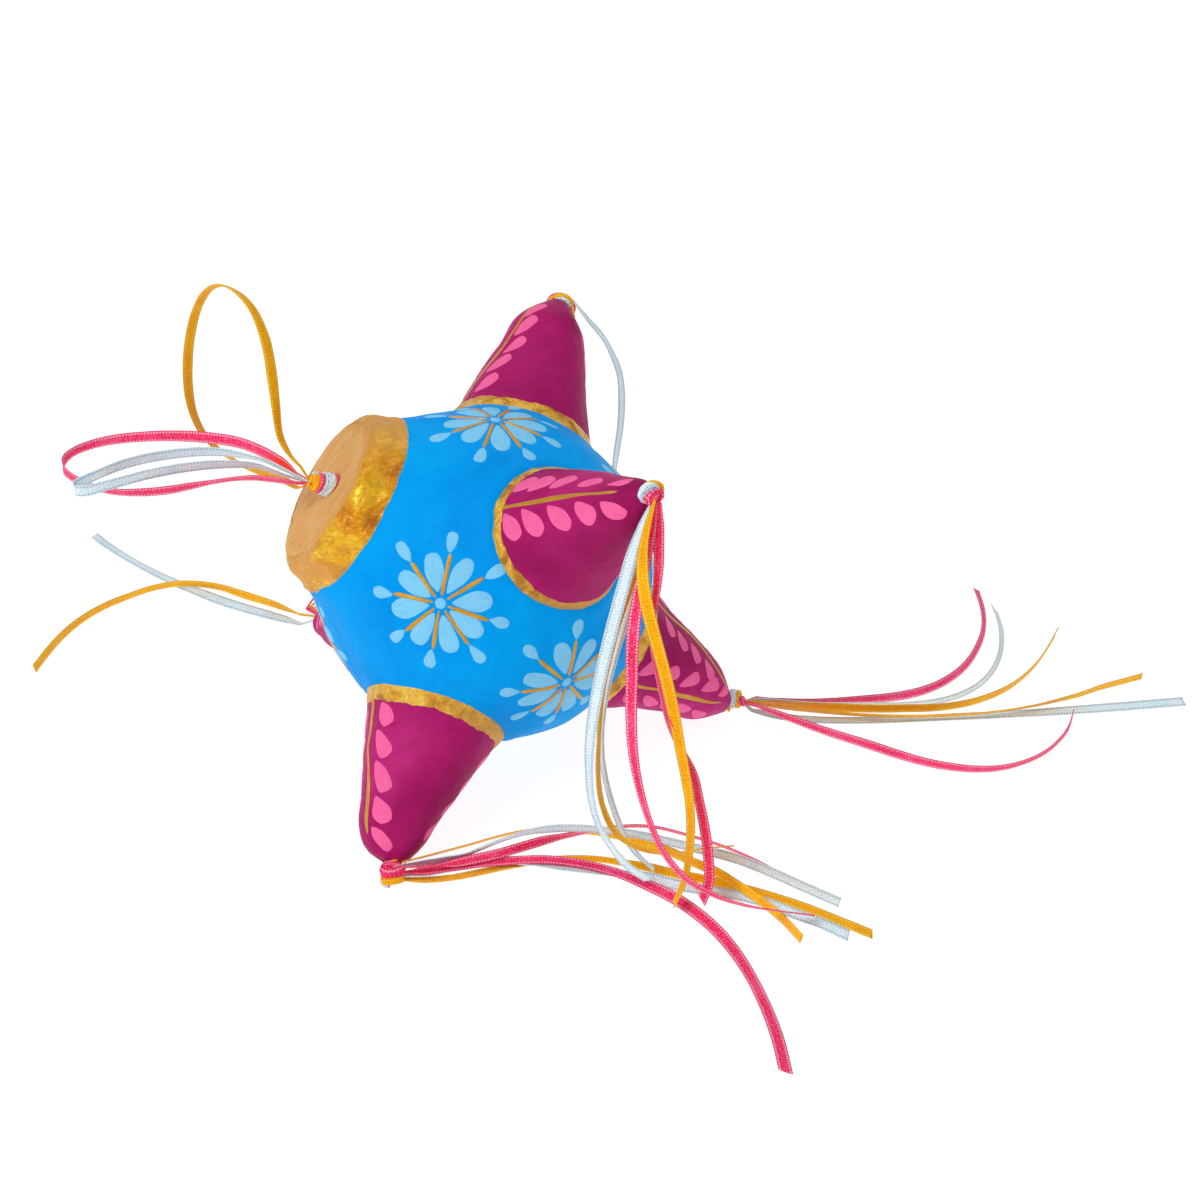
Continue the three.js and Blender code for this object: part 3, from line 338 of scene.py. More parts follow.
class Nodes:
    """A material's nodes. A value that is a socket is linked, any other is set."""

    def __init__(self, name):
        self.material = bpy.data.materials.new(name)
        self.material.use_nodes = True
        self.tree = self.material.node_tree
        self.tree.nodes.clear()
        self.surface = self.tree.nodes.new("ShaderNodeBsdfPrincipled")
        output = self.tree.nodes.new("ShaderNodeOutputMaterial")
        self.tree.links.new(self.surface.outputs["BSDF"], output.inputs["Surface"])

    def put(self, target, values):
        for key, value in values.items():
            socket = target.inputs[key]
            if isinstance(value, bpy.types.NodeSocket):
                self.tree.links.new(value, socket)
            else:
                socket.default_value = value

    def node(self, kind, values=None, output=0, **settings):
        made = self.tree.nodes.new("ShaderNode" + kind)
        for key, value in settings.items():
            setattr(made, key, value)
        self.put(made, values or {})
        return made.outputs[output]

    def sum(self, operation, first, second=None):
        given = {0: first} if second is None else {0: first, 1: second}
        return self.node("Math", given, operation=operation)

    def place(self, scale=(1, 1, 1), kind="Object"):
        source = self.node("TexCoord", output={"Object": 3, "UV": 2}[kind])
        return self.node("Mapping", {"Vector": source, "Scale": scale})

    def texture_places(self):
        """The first and second place of the texture, as the mesh gives them."""
        where = self.node("TexCoord", output=2)
        parts = self.tree.nodes.new("ShaderNodeSeparateXYZ")
        self.tree.links.new(where, parts.inputs[0])
        return parts.outputs[0], parts.outputs[1]

    def noise(self, scale, detail=4.0, where=None, roughness=0.55, distortion=0.0):
        return self.node("TexNoise", {
            "Vector": where or self.place(), "Scale": scale, "Detail": detail,
            "Roughness": roughness, "Distortion": distortion,
        })

    def ramp(self, value, *stops):
        made = self.tree.nodes.new("ShaderNodeValToRGB")
        self.tree.links.new(value, made.inputs["Fac"])
        elements = made.color_ramp.elements
        while len(elements) < len(stops):
            elements.new(0.5)
        for element, (position, colour) in zip(elements, stops):
            element.position = position
            element.color = colour
        return made.outputs["Color"]

    def level(self, value, low, high, bottom, top):
        return self.node("MapRange", {
            "Value": value, "From Min": low, "From Max": high, "To Min": bottom, "To Max": top,
        })

    def mix(self, share, first, second):
        made = self.tree.nodes.new("ShaderNodeMix")
        made.data_type = "RGBA"
        self.put(made, {0: share, 6: first, 7: second})
        return made.outputs[2]

    def bump(self, height, strength, distance, below=None):
        values = {"Height": height, "Strength": strength, "Distance": distance}
        if below is not None:
            values["Normal"] = below
        return self.node("Bump", values)

    def finish(self, **values):
        self.put(self.surface, {key.replace("_", " "): value for key, value in values.items()})
        return self.material


def paper_paint(name, base, shade, light, scuff, shine):
    """Matt brushed paint over layered paper: soft tones, dry streaks, small scuffs, and the low
    edges of the paper strips below it."""
    base, shade, light, scuff = map(linear, (base, shade, light, scuff))
    made = Nodes(name)
    tone = made.ramp(made.noise(34.0, 4.0), (0.34, shade), (0.52, base), (0.74, light))
    streaks = made.noise(170.0, 4.0, made.place((1.0, 4.0, 1.0)), 0.65)
    tone = made.mix(made.level(streaks, 0.5, 0.78, 0.0, 0.45), tone, shade)
    scuffs = made.noise(240.0, 6.0, made.place((1.0, 1.0, 3.0)), 0.7)
    specks = made.noise(700.0, 2.0)
    worn = made.sum("MAXIMUM", made.level(specks, 0.72, 0.76, 0.0, 0.4),
                    made.level(scuffs, 0.7, 0.76, 0.0, 0.35))
    tone = made.mix(worn, tone, scuff)
    strips = made.node("TexVoronoi", {
        "Vector": made.place((1.0, 2.2, 1.3)), "Scale": 46.0,
    }, feature="DISTANCE_TO_EDGE")
    normal = made.bump(made.level(strips, 0.0, 0.08, 0.0, 1.0), 0.12, 0.0003)
    normal = made.bump(made.noise(150.0, 5.0), 0.7, 0.0011, normal)
    normal = made.bump(streaks, 0.5, 0.0004, normal)
    normal = made.bump(made.noise(1300.0, 3.0), 0.12, 0.0002, normal)
    return made.finish(
        Base_Color=tone, Normal=normal, Specular_IOR_Level=shine,
        Roughness=made.level(made.noise(90.0, 4.0), 0.3, 0.7, 0.42, 0.62),
    )


def brush_paint(name, base, light, shade, rough=0.55, metal=0.0, grain=5.0):
    """A brush stroke: streaks along it, thinner and lighter in places."""
    base, light, shade = map(linear, (base, light, shade))
    made = Nodes(name)
    along = made.noise(grain, 4.0, made.place((0.5, 7.0, 1.0), "UV"))
    tone = made.ramp(along, (0.34, shade), (0.5, base), (0.7, light))
    patches = made.noise(260.0, 4.0)
    tone = made.mix(made.level(patches, 0.35, 0.75, 0.0, 0.5), tone, base)
    normal = made.bump(along, 0.35, 0.0002)
    normal = made.bump(made.noise(900.0, 3.0), 0.15, 0.0002, normal)
    return made.finish(
        Base_Color=tone, Normal=normal, Metallic=metal, Specular_IOR_Level=0.12,
        Roughness=made.level(patches, 0.3, 0.7, rough - 0.08, rough + 0.1),
    )


def gold_leaf(name, scale, bright, middle, dark, unlit_leaf, metal, highlight_span):
    """Metal leaf on lumpy paper: soft folds and fine crinkles where it bunched, with its
    reflections painted in: tones along the folds, painted shade in the crinkles and painted glints
    on them. The leaf is painted bright and shiny over a span of the texture's first place, as a
    painted highlight, and a flatter colour outside it paints leaf that the light doesn't catch."""
    bright, middle, dark, unlit_leaf = map(linear, (bright, middle, dark, unlit_leaf))
    made = Nodes(name)
    along, _ = made.texture_places()
    folds = made.noise(scale, 3.0, None, 0.5, 0.7)
    crinkle = made.noise(scale * 7, 6.0, made.place((1.0, 1.0, 1.6)), 0.65, 1.4)
    # Painted reflections: the tones along the folds stand in for what the metal reflects, the
    # crinkles' hollows get painted shade and their crests get painted glints.
    tone = made.ramp(folds, (0.36, dark), (0.48, middle), (0.6, bright))
    tone = made.mix(made.level(crinkle, 0.4, 0.6, 0.5, 0.0), tone, dark)
    painted_glint = made.level(crinkle, 0.58, 0.7, 0.0, 0.6)
    tone = made.mix(painted_glint, tone, linear((255, 226, 116)))
    # Painted highlight: the leaf is bright and shiny only over a span of the texture's first
    # place, and outside it a flatter colour paints leaf that the light doesn't catch.
    edge = made.sum("ADD", along, made.level(crinkle, 0.3, 0.7, -0.12, 0.12))
    share = made.sum("MULTIPLY", made.level(edge, highlight_span[0], highlight_span[0] + 0.1, 0.0, 1.0),
                     made.level(edge, highlight_span[1] - 0.1, highlight_span[1], 1.0, 0.0))
    flat = made.mix(made.level(crinkle, 0.4, 0.7, 0.0, 0.5), unlit_leaf, middle)
    tone = made.mix(share, flat, tone)
    normal = made.bump(folds, 0.9, 0.0026)
    normal = made.bump(crinkle, 0.5, 0.0004, normal)
    return made.finish(
        Base_Color=tone, Normal=normal, Specular_IOR_Level=0.4,
        Metallic=made.level(share, 0.0, 1.0, 0.35, metal),
        Roughness=made.level(made.sum("MULTIPLY", share, folds), 0.0, 0.6, 0.5, 0.22),
    )


# The stitched dots of a ribbon: from one to the next in millimetres, and how far from its
# middle their row runs, as a share of its width.
STITCH_STEP = 0.8
STITCH_ROW = 0.37


def satin(name, base, light, shade, stitch, painted_glow=None):
    """Satin ribbon: a fine mottle painted both as the grain of its threads and as the satin's
    glints, and a row of small stitched dots near both edges.
    The texture place is millimetres along and the share of the width across. Up to a given place a
    redder colour is painted on, as painted light shining through the ribbon."""
    base, light, shade, stitch = map(linear, (base, light, shade, stitch))
    made = Nodes(name)
    along, across = made.texture_places()
    beat = made.sum("FRACT", made.sum("DIVIDE", along, STITCH_STEP))
    beat = made.sum("MULTIPLY", made.sum("SUBTRACT", beat, 0.5), STITCH_STEP)
    from_middle = made.sum("ABSOLUTE", made.sum("SUBTRACT", across, 0.5))
    from_row = made.sum("SUBTRACT", from_middle, STITCH_ROW)
    from_row = made.sum("MULTIPLY", from_row, RIBBON_WIDTH)
    square = made.sum("ADD", made.sum("MULTIPLY", beat, beat),
                      made.sum("MULTIPLY", from_row, from_row))
    dots = made.level(made.sum("SQRT", square), 0.18, 0.36, 1.0, 0.0)
    even = made.place((1.0, RIBBON_WIDTH, 1.0), "UV")
    threads = made.node("TexWave", {
        "Vector": even, "Scale": 1.1, "Distortion": 1.2, "Detail": 2.0,
    }, bands_direction="X")
    mottle = made.noise(1.7, 3.0, even, 0.65)
    slow = made.noise(0.13, 2.0, made.place((1.0, 1.2, 1.0), "UV"))
    tone = made.mix(0.35, base, made.ramp(slow, (0.34, shade), (0.5, base), (0.68, light)))
    # The mottle paints glints of the satin in the light colour and darker specks in the shade
    # colour, over the grain of its threads.
    tone = made.mix(made.level(mottle, 0.5, 0.66, 0.0, 0.85), tone, light)
    tone = made.mix(made.level(mottle, 0.5, 0.34, 0.0, 0.75), tone, shade)
    if painted_glow:
        start, end, colour = painted_glow
        tone = made.mix(made.level(along, start, end, 0.94, 0.0), tone, linear(colour))
    tone = made.mix(made.sum("MULTIPLY", dots, 0.9), tone, stitch)
    normal = made.bump(threads, 0.1, 0.0001)
    normal = made.bump(mottle, 0.2, 0.0001, normal)
    normal = made.bump(dots, 0.5, 0.0002, normal)
    return made.finish(
        Base_Color=tone, Normal=normal, Anisotropic=0.6, Roughness=0.44,
        Tangent=made.node("Tangent", direction_type="UV_MAP", uv_map="UVMap"),
        Specular_IOR_Level=0.1,
    )


# Base, shade, light and scuff of the paper.
BLUE = paper_paint("globe_blue", (0, 162, 248), (0, 146, 236), (0, 176, 254), (0, 112, 192), 0.03)
MAGENTA = paper_paint("cone_magenta", (176, 24, 105), (152, 14, 86), (196, 42, 125),
                      (112, 16, 72), 0.08)
# Base, light and shade of the paint.
PALE_BLUE = brush_paint("petal_blue", (130, 210, 252), (150, 222, 255), (104, 194, 246))
FLOWER_GOLD = brush_paint("flower_gold", (218, 158, 38), (255, 214, 104), (166, 108, 16),
                          0.34, 0.4)
LEAF_PINK = brush_paint("leaf_pink", (255, 104, 166), (255, 126, 182), (242, 82, 148))
LINE_GOLD = brush_paint("line_gold", (212, 154, 50), (246, 200, 98), (160, 108, 26), 0.34, 0.4)
# Bright, middle and dark leaf, as painted reflections along its folds, and the flatter leaf
# painted where the light doesn't catch it.
RING_GOLD = gold_leaf("ring_leaf", 190.0, (255, 214, 84), (244, 178, 36), (178, 116, 14),
                      (212, 156, 70), 0.25, (0.1, 0.66))
CAP_GOLD = gold_leaf("cap_leaf", 72.0, (255, 202, 34), (248, 166, 0), (184, 106, 0),
                     (214, 158, 72), 0.3, (0.26, 0.62))
# The cap is gold paint all over. Its face gets this tan, nearly matt copy of it as painted shade,
# for the dim reflection the face shows.
SHADED_CAP_GOLD = brush_paint("cap_gold_painted_shade", (224, 170, 94), (234, 190, 126), (214, 152, 72), 0.5, 0.15, 1.3)
# Base, light, shade and stitches of the ribbons, and the redder colour painted on the pink loop as
# painted light shining through it.
RIBBON_COLOURS = {
    "pink": ((254, 46, 106), (255, 126, 174), (218, 10, 64), (255, 190, 212)),
    "silver": ((228, 248, 255), (250, 255, 255), (188, 214, 230), (168, 196, 216)),
    "gold": ((255, 176, 0), (255, 208, 24), (234, 134, 0), (255, 222, 80)),
}
PAINTED_GLOW_PINK = (244, 52, 10)
RIBBONS = {colour: satin("ribbon_" + colour, *tones) for colour, tones in RIBBON_COLOURS.items()}

# Ribbons

# Routes from a knot to the free end, after the side that the width starts along and the
# twist on the way. A fourth number leans the band by that many degrees.
ROUTES = {
    "tail_a_silver_1": ((0.5, 0.85, 0), 0, (
        (16.8, 61.8, 92.9, -27), (20.8, 62.2, 86.9, -23), (24.9, 62.7, 81, -16),
        (27.4, 63, 75.5, -8), (29.3, 62.9, 69.9, 2), (30, 62.7, 62.5, 13), (29.7, 62.3, 53.9, 13),
        (28.8, 62, 46.8, 13), (28, 61.9, 39.8, 4), (27.1, 62.7, 33, 4), (26.6, 64.3, 27.4, 4),
        (27, 66.5, 20.4, 4), (28.4, 69.5, 14, 4), (30.8, 73.3, 8.6, 4), (34.4, 77.9, 4.6, 4),
        (38.8, 82.7, 2.2, 4),
    )),
    "tail_a_pink_1": ((1, 0, 0), 0, (
        (12.9, 61.3, 88), (12, 62.7, 78), (11, 63.1, 71), (9.8, 63.5, 64), (8.6, 63.9, 57),
        (7.4, 64.3, 50), (6.2, 64.7, 43), (5.2, 65.1, 36), (4.4, 65.7, 29), (3.8, 66.5, 22),
        (3.6, 67.9, 15.4), (3.2, 70.3, 9.4), (2.4, 74.3, 5), (1.4, 79.1, 2.6), (0.2, 83.9, 1.8),
    )),
    "tail_a_silver_2": ((1, 0, 0), 0, (
        (13.4, 62.5, 87.4), (13, 63.7, 78), (12.4, 64.3, 71), (11.6, 64.7, 64), (10.8, 65.1, 57),
        (10, 65.5, 50), (9.4, 65.9, 43), (8.8, 66.3, 36), (8.4, 66.9, 29), (8.4, 67.9, 22),
        (8.8, 69.7, 15.6), (9.2, 72.1, 9.6), (9.4, 76.3, 5.2), (9.4, 81.1, 2.8), (9.2, 86.1, 1.8),
    )),
    "tail_a_gold_1": ((1, 0, 0), 0, (
        (13.9, 63.5, 86.8), (14, 64.8, 78), (13.8, 65.5, 71), (13.6, 65.9, 64), (13.2, 66.3, 57),
        (13, 66.7, 50), (12.8, 67.1, 43), (12.8, 67.5, 36), (13, 68.1, 29), (13.4, 69.3, 22),
        (14.1, 71.3, 15.8), (15, 73.9, 9.6), (16.2, 77.9, 5.2), (17.4, 82.5, 2.8),
        (18.6, 87.3, 1.8),
    )),
    "tail_a_gold_2": ((1, 0, 0), 0, (
        (14.3, 64.7, 86.7), (15, 65.9, 78), (15.2, 66.7, 71), (15.4, 67.1, 64), (15.6, 67.5, 57),
        (15.8, 67.9, 50), (16.2, 68.3, 43), (16.8, 68.7, 36), (17.6, 69.5, 29), (18.4, 70.9, 22),
        (19.5, 73.1, 16), (20.8, 75.9, 9.6), (22.8, 79.7, 5.2), (25, 83.9, 2.8), (27.2, 88.3, 1.8),
    )),
    "tail_a_pink_2": ((1, 0, 0), 0, (
        (14.8, 66, 87), (16, 67.1, 78), (16.6, 67.9, 71), (17.4, 68.5, 64), (18.2, 68.9, 57),
        (19, 69.3, 50), (20, 69.7, 43), (21.2, 70.3, 36), (22.4, 71.3, 29), (23.6, 72.9, 22),
        (25.1, 75.3, 16.2), (26.8, 78.1, 9.6), (29.6, 81.7, 5.2), (32.6, 85.5, 2.8),
        (35.6, 89.3, 1.8),
    )),
    "tail_b_silver_1": ((1, 0, 0), 90, (
        (26.4, -56.4, 102.3, 65), (23.8, -56.5, 94.9, 58), (21.7, -56.9, 88.2, 31),
        (20, -57.8, 81.4, 16), (18.2, -59.1, 74.8, 6), (16.5, -60.5, 68.3, 1),
        (14.8, -62.1, 61.5, 0), (13.4, -63.5, 54.9, -1), (12.2, -64.9, 48.1, -3),
        (11.4, -66.3, 41.3, 1), (11.2, -67.8, 34.5, 3), (11.6, -69.3, 27.7, -2),
        (13.2, -70.8, 21, -10), (16.2, -72.1, 15, -21), (20.3, -73.2, 9.4, -40),
        (25.6, -73.6, 5, -54),
    )),
    "tail_b_silver_2": ((1, 0, 0), 90, (
        (27.5, -55, 100.7, 11), (26.8, -54.7, 94.7, 11), (25.4, -54.5, 87.9, 11),
        (23.6, -54.5, 81.1, 11), (21.8, -54.7, 74.4, 11), (19.8, -55.1, 67.8, 11),
        (18, -55.9, 61.1, 11), (16.4, -56.9, 54.4, 11), (15.2, -58.1, 47.6, 11),
        (14.6, -59.5, 40.8, 11), (14.8, -61.2, 33.9, 11), (15.8, -62.9, 27.3, 3),
        (17.4, -64.2, 20.7, -7), (19.6, -65.5, 14.1, -17), (22.8, -66.7, 8.2, -26),
        (27.2, -67.9, 3.6, -26),
    )),
    "tail_b_gold_2": ((1, 0, 0), 90, (
        (26.8, -55.7, 101.4, 76), (25.5, -55.5, 93.5, 76), (23.8, -55.7, 85.7, 76),
        (21.6, -56.5, 77.9, 76), (19.2, -57.7, 70.4, 69), (17.2, -59.1, 62.7, 61),
        (15.4, -60.5, 55, 52), (14.4, -62.1, 47.2, 43), (13.8, -63.7, 39.4, 35),
        (13.6, -65.5, 31.5, 23), (14.6, -67.7, 23.7, 8), (17.8, -69.8, 17, -10),
        (23.8, -71, 13, -22), (31.6, -70.5, 10.6, -22), (39.2, -67.9, 9.4, -22),
        (46.9, -66.1, 8.4, -22),
    )),
    "tail_b_pink_1": ((1, 0, 0), 90, (
        (27.1, -57.2, 103.2, 29), (25.7, -57.9, 93.5, 29), (24.4, -59.2, 85.7, 29),
        (22.8, -61.5, 77.9, 23), (21.6, -64.7, 70.2, 4), (21.2, -68.1, 62.2, 5),
        (20.8, -71.7, 54.2, 5), (21, -75.1, 46, 8), (22.2, -78.3, 38, 12), (24.4, -81.3, 30, 12),
        (27.6, -84.3, 22.6, 3), (32.8, -86.7, 16, -11), (39.6, -88.1, 11.5, -13),
        (47.2, -89.1, 8.6, -12), (55.4, -89.5, 6.6, -12), (63.8, -89.3, 4.6, -12),
    )),
    "tail_b_gold_1": ((1, 0, 0), 40, (
        (27, -58.6, 105.3, 88), (24.6, -59.9, 95.3, 62), (24, -61.6, 88.6, 32),
        (24.5, -63.4, 82, 17), (25.8, -64.9, 75.6, 11), (27.4, -66.3, 69.1, 13),
        (29, -67.6, 62.6, 12), (30.4, -68.9, 56.1, 10), (31.6, -70, 49.6, 16),
        (32.7, -71.9, 43, 20), (33.8, -73.8, 36.5, 21), (34.7, -75.7, 30, 24),
        (34.9, -77.6, 23.3, 27), (34.4, -79.5, 16.7, 33), (33.1, -81.3, 10.2, 41),
        (30.6, -82.7, 4.6, 50),
    )),
    "tail_b_pink_2": ((1, 0, 0), 40, (
        (28, -57.9, 104.2, 47), (28, -58.9, 94.6, 41), (27.9, -60.3, 87.8, 45),
        (27.3, -61.6, 81.1, 59), (26.4, -62.4, 74.4, 63), (26.4, -63.3, 67.7, 59),
        (27.5, -64.9, 61.1, 52), (28.8, -66.5, 54.6, 48), (30.4, -68.5, 47.9, 43),
        (33, -69.9, 41.9, 33), (35.8, -71.7, 35.9, 23), (37.2, -73.9, 29.2, 14),
        (38.4, -76.1, 22.6, 8), (39.2, -78.5, 15.9, 6), (39.2, -80.9, 9.2, 9),
        (37.4, -82.9, 5.4, 12),
    )),
    "tail_c_pink_1": ((0, 0, 1), 0, (
        (-35, -63.5, 4.5, 47), (-30.6, -63.5, 4.5, 47), (-25.8, -63.2, 4.5, 42),
        (-20.8, -62.5, 4.5, 9), (-15.6, -61.2, 4.5, 3), (-10.6, -59.7, 4.4, 2),
        (-5.6, -57.9, 4.5, 2), (-0.4, -56.1, 4.6, 3), (5.2, -54.7, 4.8, 24),
        (11.2, -53.9, 5.2, 36), (17.2, -53.1, 5.5, 36), (23.4, -52.9, 5.7, 38),
        (29.4, -53.7, 5.4, 39), (36.2, -55.7, 4.4, 40), (43.2, -58.9, 3.7, 40),
        (49.4, -62.7, 3.1, 39), (54.8, -66.9, 2.6, 37), (60.4, -71.9, 2.1, 37),
        (65, -75.7, 1.8, 38),
    )),
    "tail_c_pink_2": ((0, 1, 0), 0, (
        (-34.8, -62.7, 2.1, -23), (-29.2, -62.3, 2.1, 1), (-22.2, -61.3, 2.1, 3),
        (-14.6, -60.3, 2.1, 4), (-6.8, -60, 2.1, 0), (1.2, -60.3, 2.1, -1), (8.4, -62.1, 2.1, -2),
        (14.6, -64.7, 2.1, -4), (20.4, -68.3, 2.1, 1), (25.8, -72.5, 2.1, 13),
        (31, -77.1, 2.1, 23), (35.8, -82.9, 2, 17), (40.2, -89.5, 1.6, 11), (43.8, -97.3, 1.2, 1),
        (46.6, -106.1, 0.8, -12), (48.8, -116.3, 0.5, -12), (50.2, -127.3, 0.4, -8),
        (50.6, -138.3, 0.4, -8),
    )),
    "tail_c_gold_1": ((0, 0, 1), 0, (
        (-34.5, -61.5, 4.6, 45), (-29.2, -59.1, 4, 44), (-23.2, -55.6, 2.8, 43),
        (-17.2, -52.4, 1.9, 42), (-11.2, -49.9, 1.7, 42), (-4.8, -48.1, 1.7, 41),
        (1.8, -47.5, 1.7, 33), (8.6, -48.1, 1.7, 23), (15.2, -49.7, 1.7, 13),
        (21.4, -52.1, 1.7, 9), (27.2, -55.3, 1.7, 9), (32.6, -59.9, 2.2, 5), (37.8, -64.9, 2.6, 5),
        (42.8, -70.3, 3.6, 2), (47.6, -76.3, 3.8, -1), (52.4, -82.3, 3.6, -1),
        (56.6, -88.3, 3, -1), (60.2, -94.9, 2.2, -1),
    )),
    "tail_c_gold_2": ((0, 1, 0), 0, (
        (-35.6, -63, 0.5, -13), (-29.2, -63.9, 0.5, -13), (-22.2, -63.5, 0.5, -14),
        (-15.2, -61.9, 0.5, -13), (-8.2, -60.1, 0.5, -13), (-1.2, -58.9, 0.5, -13),
        (5.8, -58.3, 0.5, -13), (12.8, -58.9, 0.5, -14), (19.8, -60.9, 0.5, -13),
        (26.4, -63.3, 0.5, -1), (32.8, -66.3, 0.5, -0), (39.8, -69.1, 0.5, -0),
        (46.8, -72.3, 0.5, -1), (53.8, -75.9, 0.5, -2), (61.8, -80.7, 0.5, -4),
        (70.2, -86.9, 0.5, -4), (77.8, -92.7, 0.5, -4),
    )),
    "tail_c_silver_1": ((0, 0, 1), 0, (
        (-34.7, -62.5, 4.4, 23), (-29.8, -62.2, 4.6, 23), (-24.4, -61.9, 5.1, 23),
        (-19.2, -61.1, 5.6, 34), (-14.2, -59.7, 6.7, 35), (-9.2, -58.1, 7.6, 36),
        (-3.8, -56.9, 8.4, 30), (2.2, -56.4, 8.8, 17), (8.8, -56.6, 8.8, 18),
        (15.4, -57.5, 8.5, 18), (21.8, -58.7, 8.1, 18), (27.8, -60.3, 7.5, 15),
        (33.8, -62.3, 6.8, 11), (40.4, -64.3, 5.9, 6), (47.8, -66.9, 4.9, 4),
        (55.8, -71.3, 3.8, 3), (63.8, -76.7, 2.8, 3), (71.4, -81.7, 1.8, 3),
    )),
    "tail_c_silver_2": ((0, 1, 0), 0, (
        (-35.2, -62.9, 1.3, -23), (-29.2, -62.9, 1.3, -24), (-22.6, -61.5, 1.3, -24),
        (-15.6, -60.1, 1.3, -24), (-8.6, -59.7, 1.3, -23), (-1.6, -60.9, 1.3, -21),
        (4.8, -62.7, 1.3, -12), (11.8, -64.5, 1.3, -12), (18.8, -66.3, 1.3, -9),
        (25.4, -68.3, 1.3, 29), (31.8, -71.3, 1.3, 21), (38.8, -73.9, 1.3, 13),
        (45.8, -76.3, 1.3, 9), (53.4, -79.9, 1.3, 9), (59.8, -84.5, 1.3, 9), (66.2, -88.9, 1.3, 9),
        (71.8, -93.7, 1.3, 9),
    )),
    "tail_d_pink_1": ((0, 0, 1), 0, (
        (61.4, 2.9, 2.9, 30), (64.8, 2.6, 2.2, 30), (70.8, 2.1, 1.8, 30), (76.8, 1.7, 1.7, 30),
        (82.8, 1.6, 1.7, 28), (88.8, 1.6, 1.7, 18), (94.8, 1.8, 1.7, 12), (100.8, 2.5, 1.7, 6),
        (106.8, 4.3, 1.7, 6), (112.3, 7.3, 1.7, 4), (117.3, 11.5, 1.7, 0), (121.6, 16.7, 1.7, -6),
        (125, 22.7, 1.7, -11), (127.8, 29.2, 1.7, -16), (129.6, 36.2, 1.7, -27),
        (130.4, 43.7, 1.7, -38), (130.4, 51.5, 1.7, -43),
    )),
    "tail_d_pink_2": ((0, 0, 1), 0, (
        (61.4, -1.2, 3.1, 21), (64, -3.5, 3.2, 21), (68.2, -6.5, 3.1, 19), (73.4, -9.7, 2.6, 15),
        (78.8, -12.7, 2, 11), (84.4, -15.9, 1.7, 9), (90.2, -19.7, 1.7, 5), (95.8, -23.5, 1.7, 7),
        (101.6, -26.9, 1.7, 12), (107.8, -29.5, 1.7, 16), (114.4, -31.1, 1.7, 21),
        (121.2, -31.1, 1.7, 26), (127.8, -29.1, 1.7, 28), (133.8, -25.5, 1.7, 23),
        (138.8, -20.5, 1.7, 16), (142.6, -14.9, 1.7, 6), (144.8, -9.7, 1.7, 3),
    )),
    "tail_d_silver_1": ((0, 0, 1), 0, (
        (61.4, 2, 2.9, 21), (64.8, 1.6, 2.4, 21), (70.8, 0.7, 2, 24), (76.8, 0.1, 1.7, 29),
        (82.8, -0.3, 1.7, 32), (88.8, -0.7, 1.7, 33), (94.8, -1.1, 1.7, 35),
        (100.8, -1.4, 1.7, 36), (106.8, -1.1, 1.7, 31), (112.8, 0.1, 1.7, 24),
        (118.3, 2.7, 1.7, 18), (123.4, 6.9, 1.7, 9), (127.4, 12.3, 1.7, -3),
        (130.4, 18.5, 1.7, -14), (132.4, 25.3, 1.7, -25), (133.6, 32.7, 1.7, -34),
        (133.7, 41.5, 1.7, -37),
    )),
    "tail_d_silver_2": ((0, 1, 0), 0, (
        (60, 0.2, 0.6, -4), (65.3, -2.3, 0.6, -4), (70.8, -4.1, 0.5, -4), (76.8, -5.3, 0.5, -4),
        (83.8, -6.1, 0.5, -4), (90.8, -6.5, 0.5, -4), (97.8, -6.7, 0.5, -4),
        (104.8, -6.7, 0.5, -4), (112.8, -6.7, 0.5, -4), (120.8, -6.7, 0.5, -3),
        (128.8, -6.6, 0.5, -1), (136.8, -6.5, 0.5, 1), (144.8, -6.2, 0.5, 4),
        (152.8, -5.8, 0.5, 6), (160.8, -5.4, 0.5, 8), (168.8, -4.9, 0.5, 8), (176.4, -4.5, 0.5, 8),
    )),
    "tail_d_gold_1": ((0, 0, 1), 0, (
        (61.4, 1.1, 2.9, 35), (64.8, 0.5, 2.8, 35), (70.8, -0.9, 2.8, 32), (76.8, -2.1, 2.8, 21),
        (82.8, -3.1, 2.8, 14), (88.8, -3.9, 2.8, 14), (94.8, -4.5, 2.8, 15),
        (100.8, -4.8, 2.8, 16), (106.8, -4.8, 2.6, 17), (112.8, -4.1, 2.4, 18),
        (118.8, -2.5, 2.2, 18), (124.8, 0.3, 2, 18), (130.4, 4.1, 1.8, 19), (135.4, 8.9, 1.7, 19),
        (140.2, 14.7, 1.7, 18), (144.4, 21.3, 1.7, 15), (148.4, 28.5, 1.7, 10),
    )),
    "tail_d_gold_2": ((0, 0, 1), 0, (
        (61.4, 0.1, 2.9, 36), (65.8, -1.2, 2.8, 36), (71.8, -2.9, 2.8, 36), (78.8, -4.7, 2.8, 38),
        (85.8, -6.3, 2.8, 41), (92.8, -7.5, 2.8, 42), (99.8, -8.3, 2.8, 43),
        (106.8, -8.7, 2.8, 44), (113.8, -8.8, 2.8, 45), (120.8, -8.5, 2.8, 46),
        (127.8, -7.7, 2.8, 45), (134.8, -6.3, 2.8, 43), (141.8, -4.3, 2.8, 36),
        (148.4, -1.7, 2.5, 28), (154.8, 1.5, 2.2, 25), (161.2, 4.1, 1.9, 24),
        (167.4, 6.5, 1.7, 22),
    )),
    "tail_e_pink_1": ((0, 0, 1), 0, (
        (-55.8, 54.3, 2.9, 46), (-52.4, 57.7, 2.2, 41), (-48.6, 62.9, 1.7, 31),
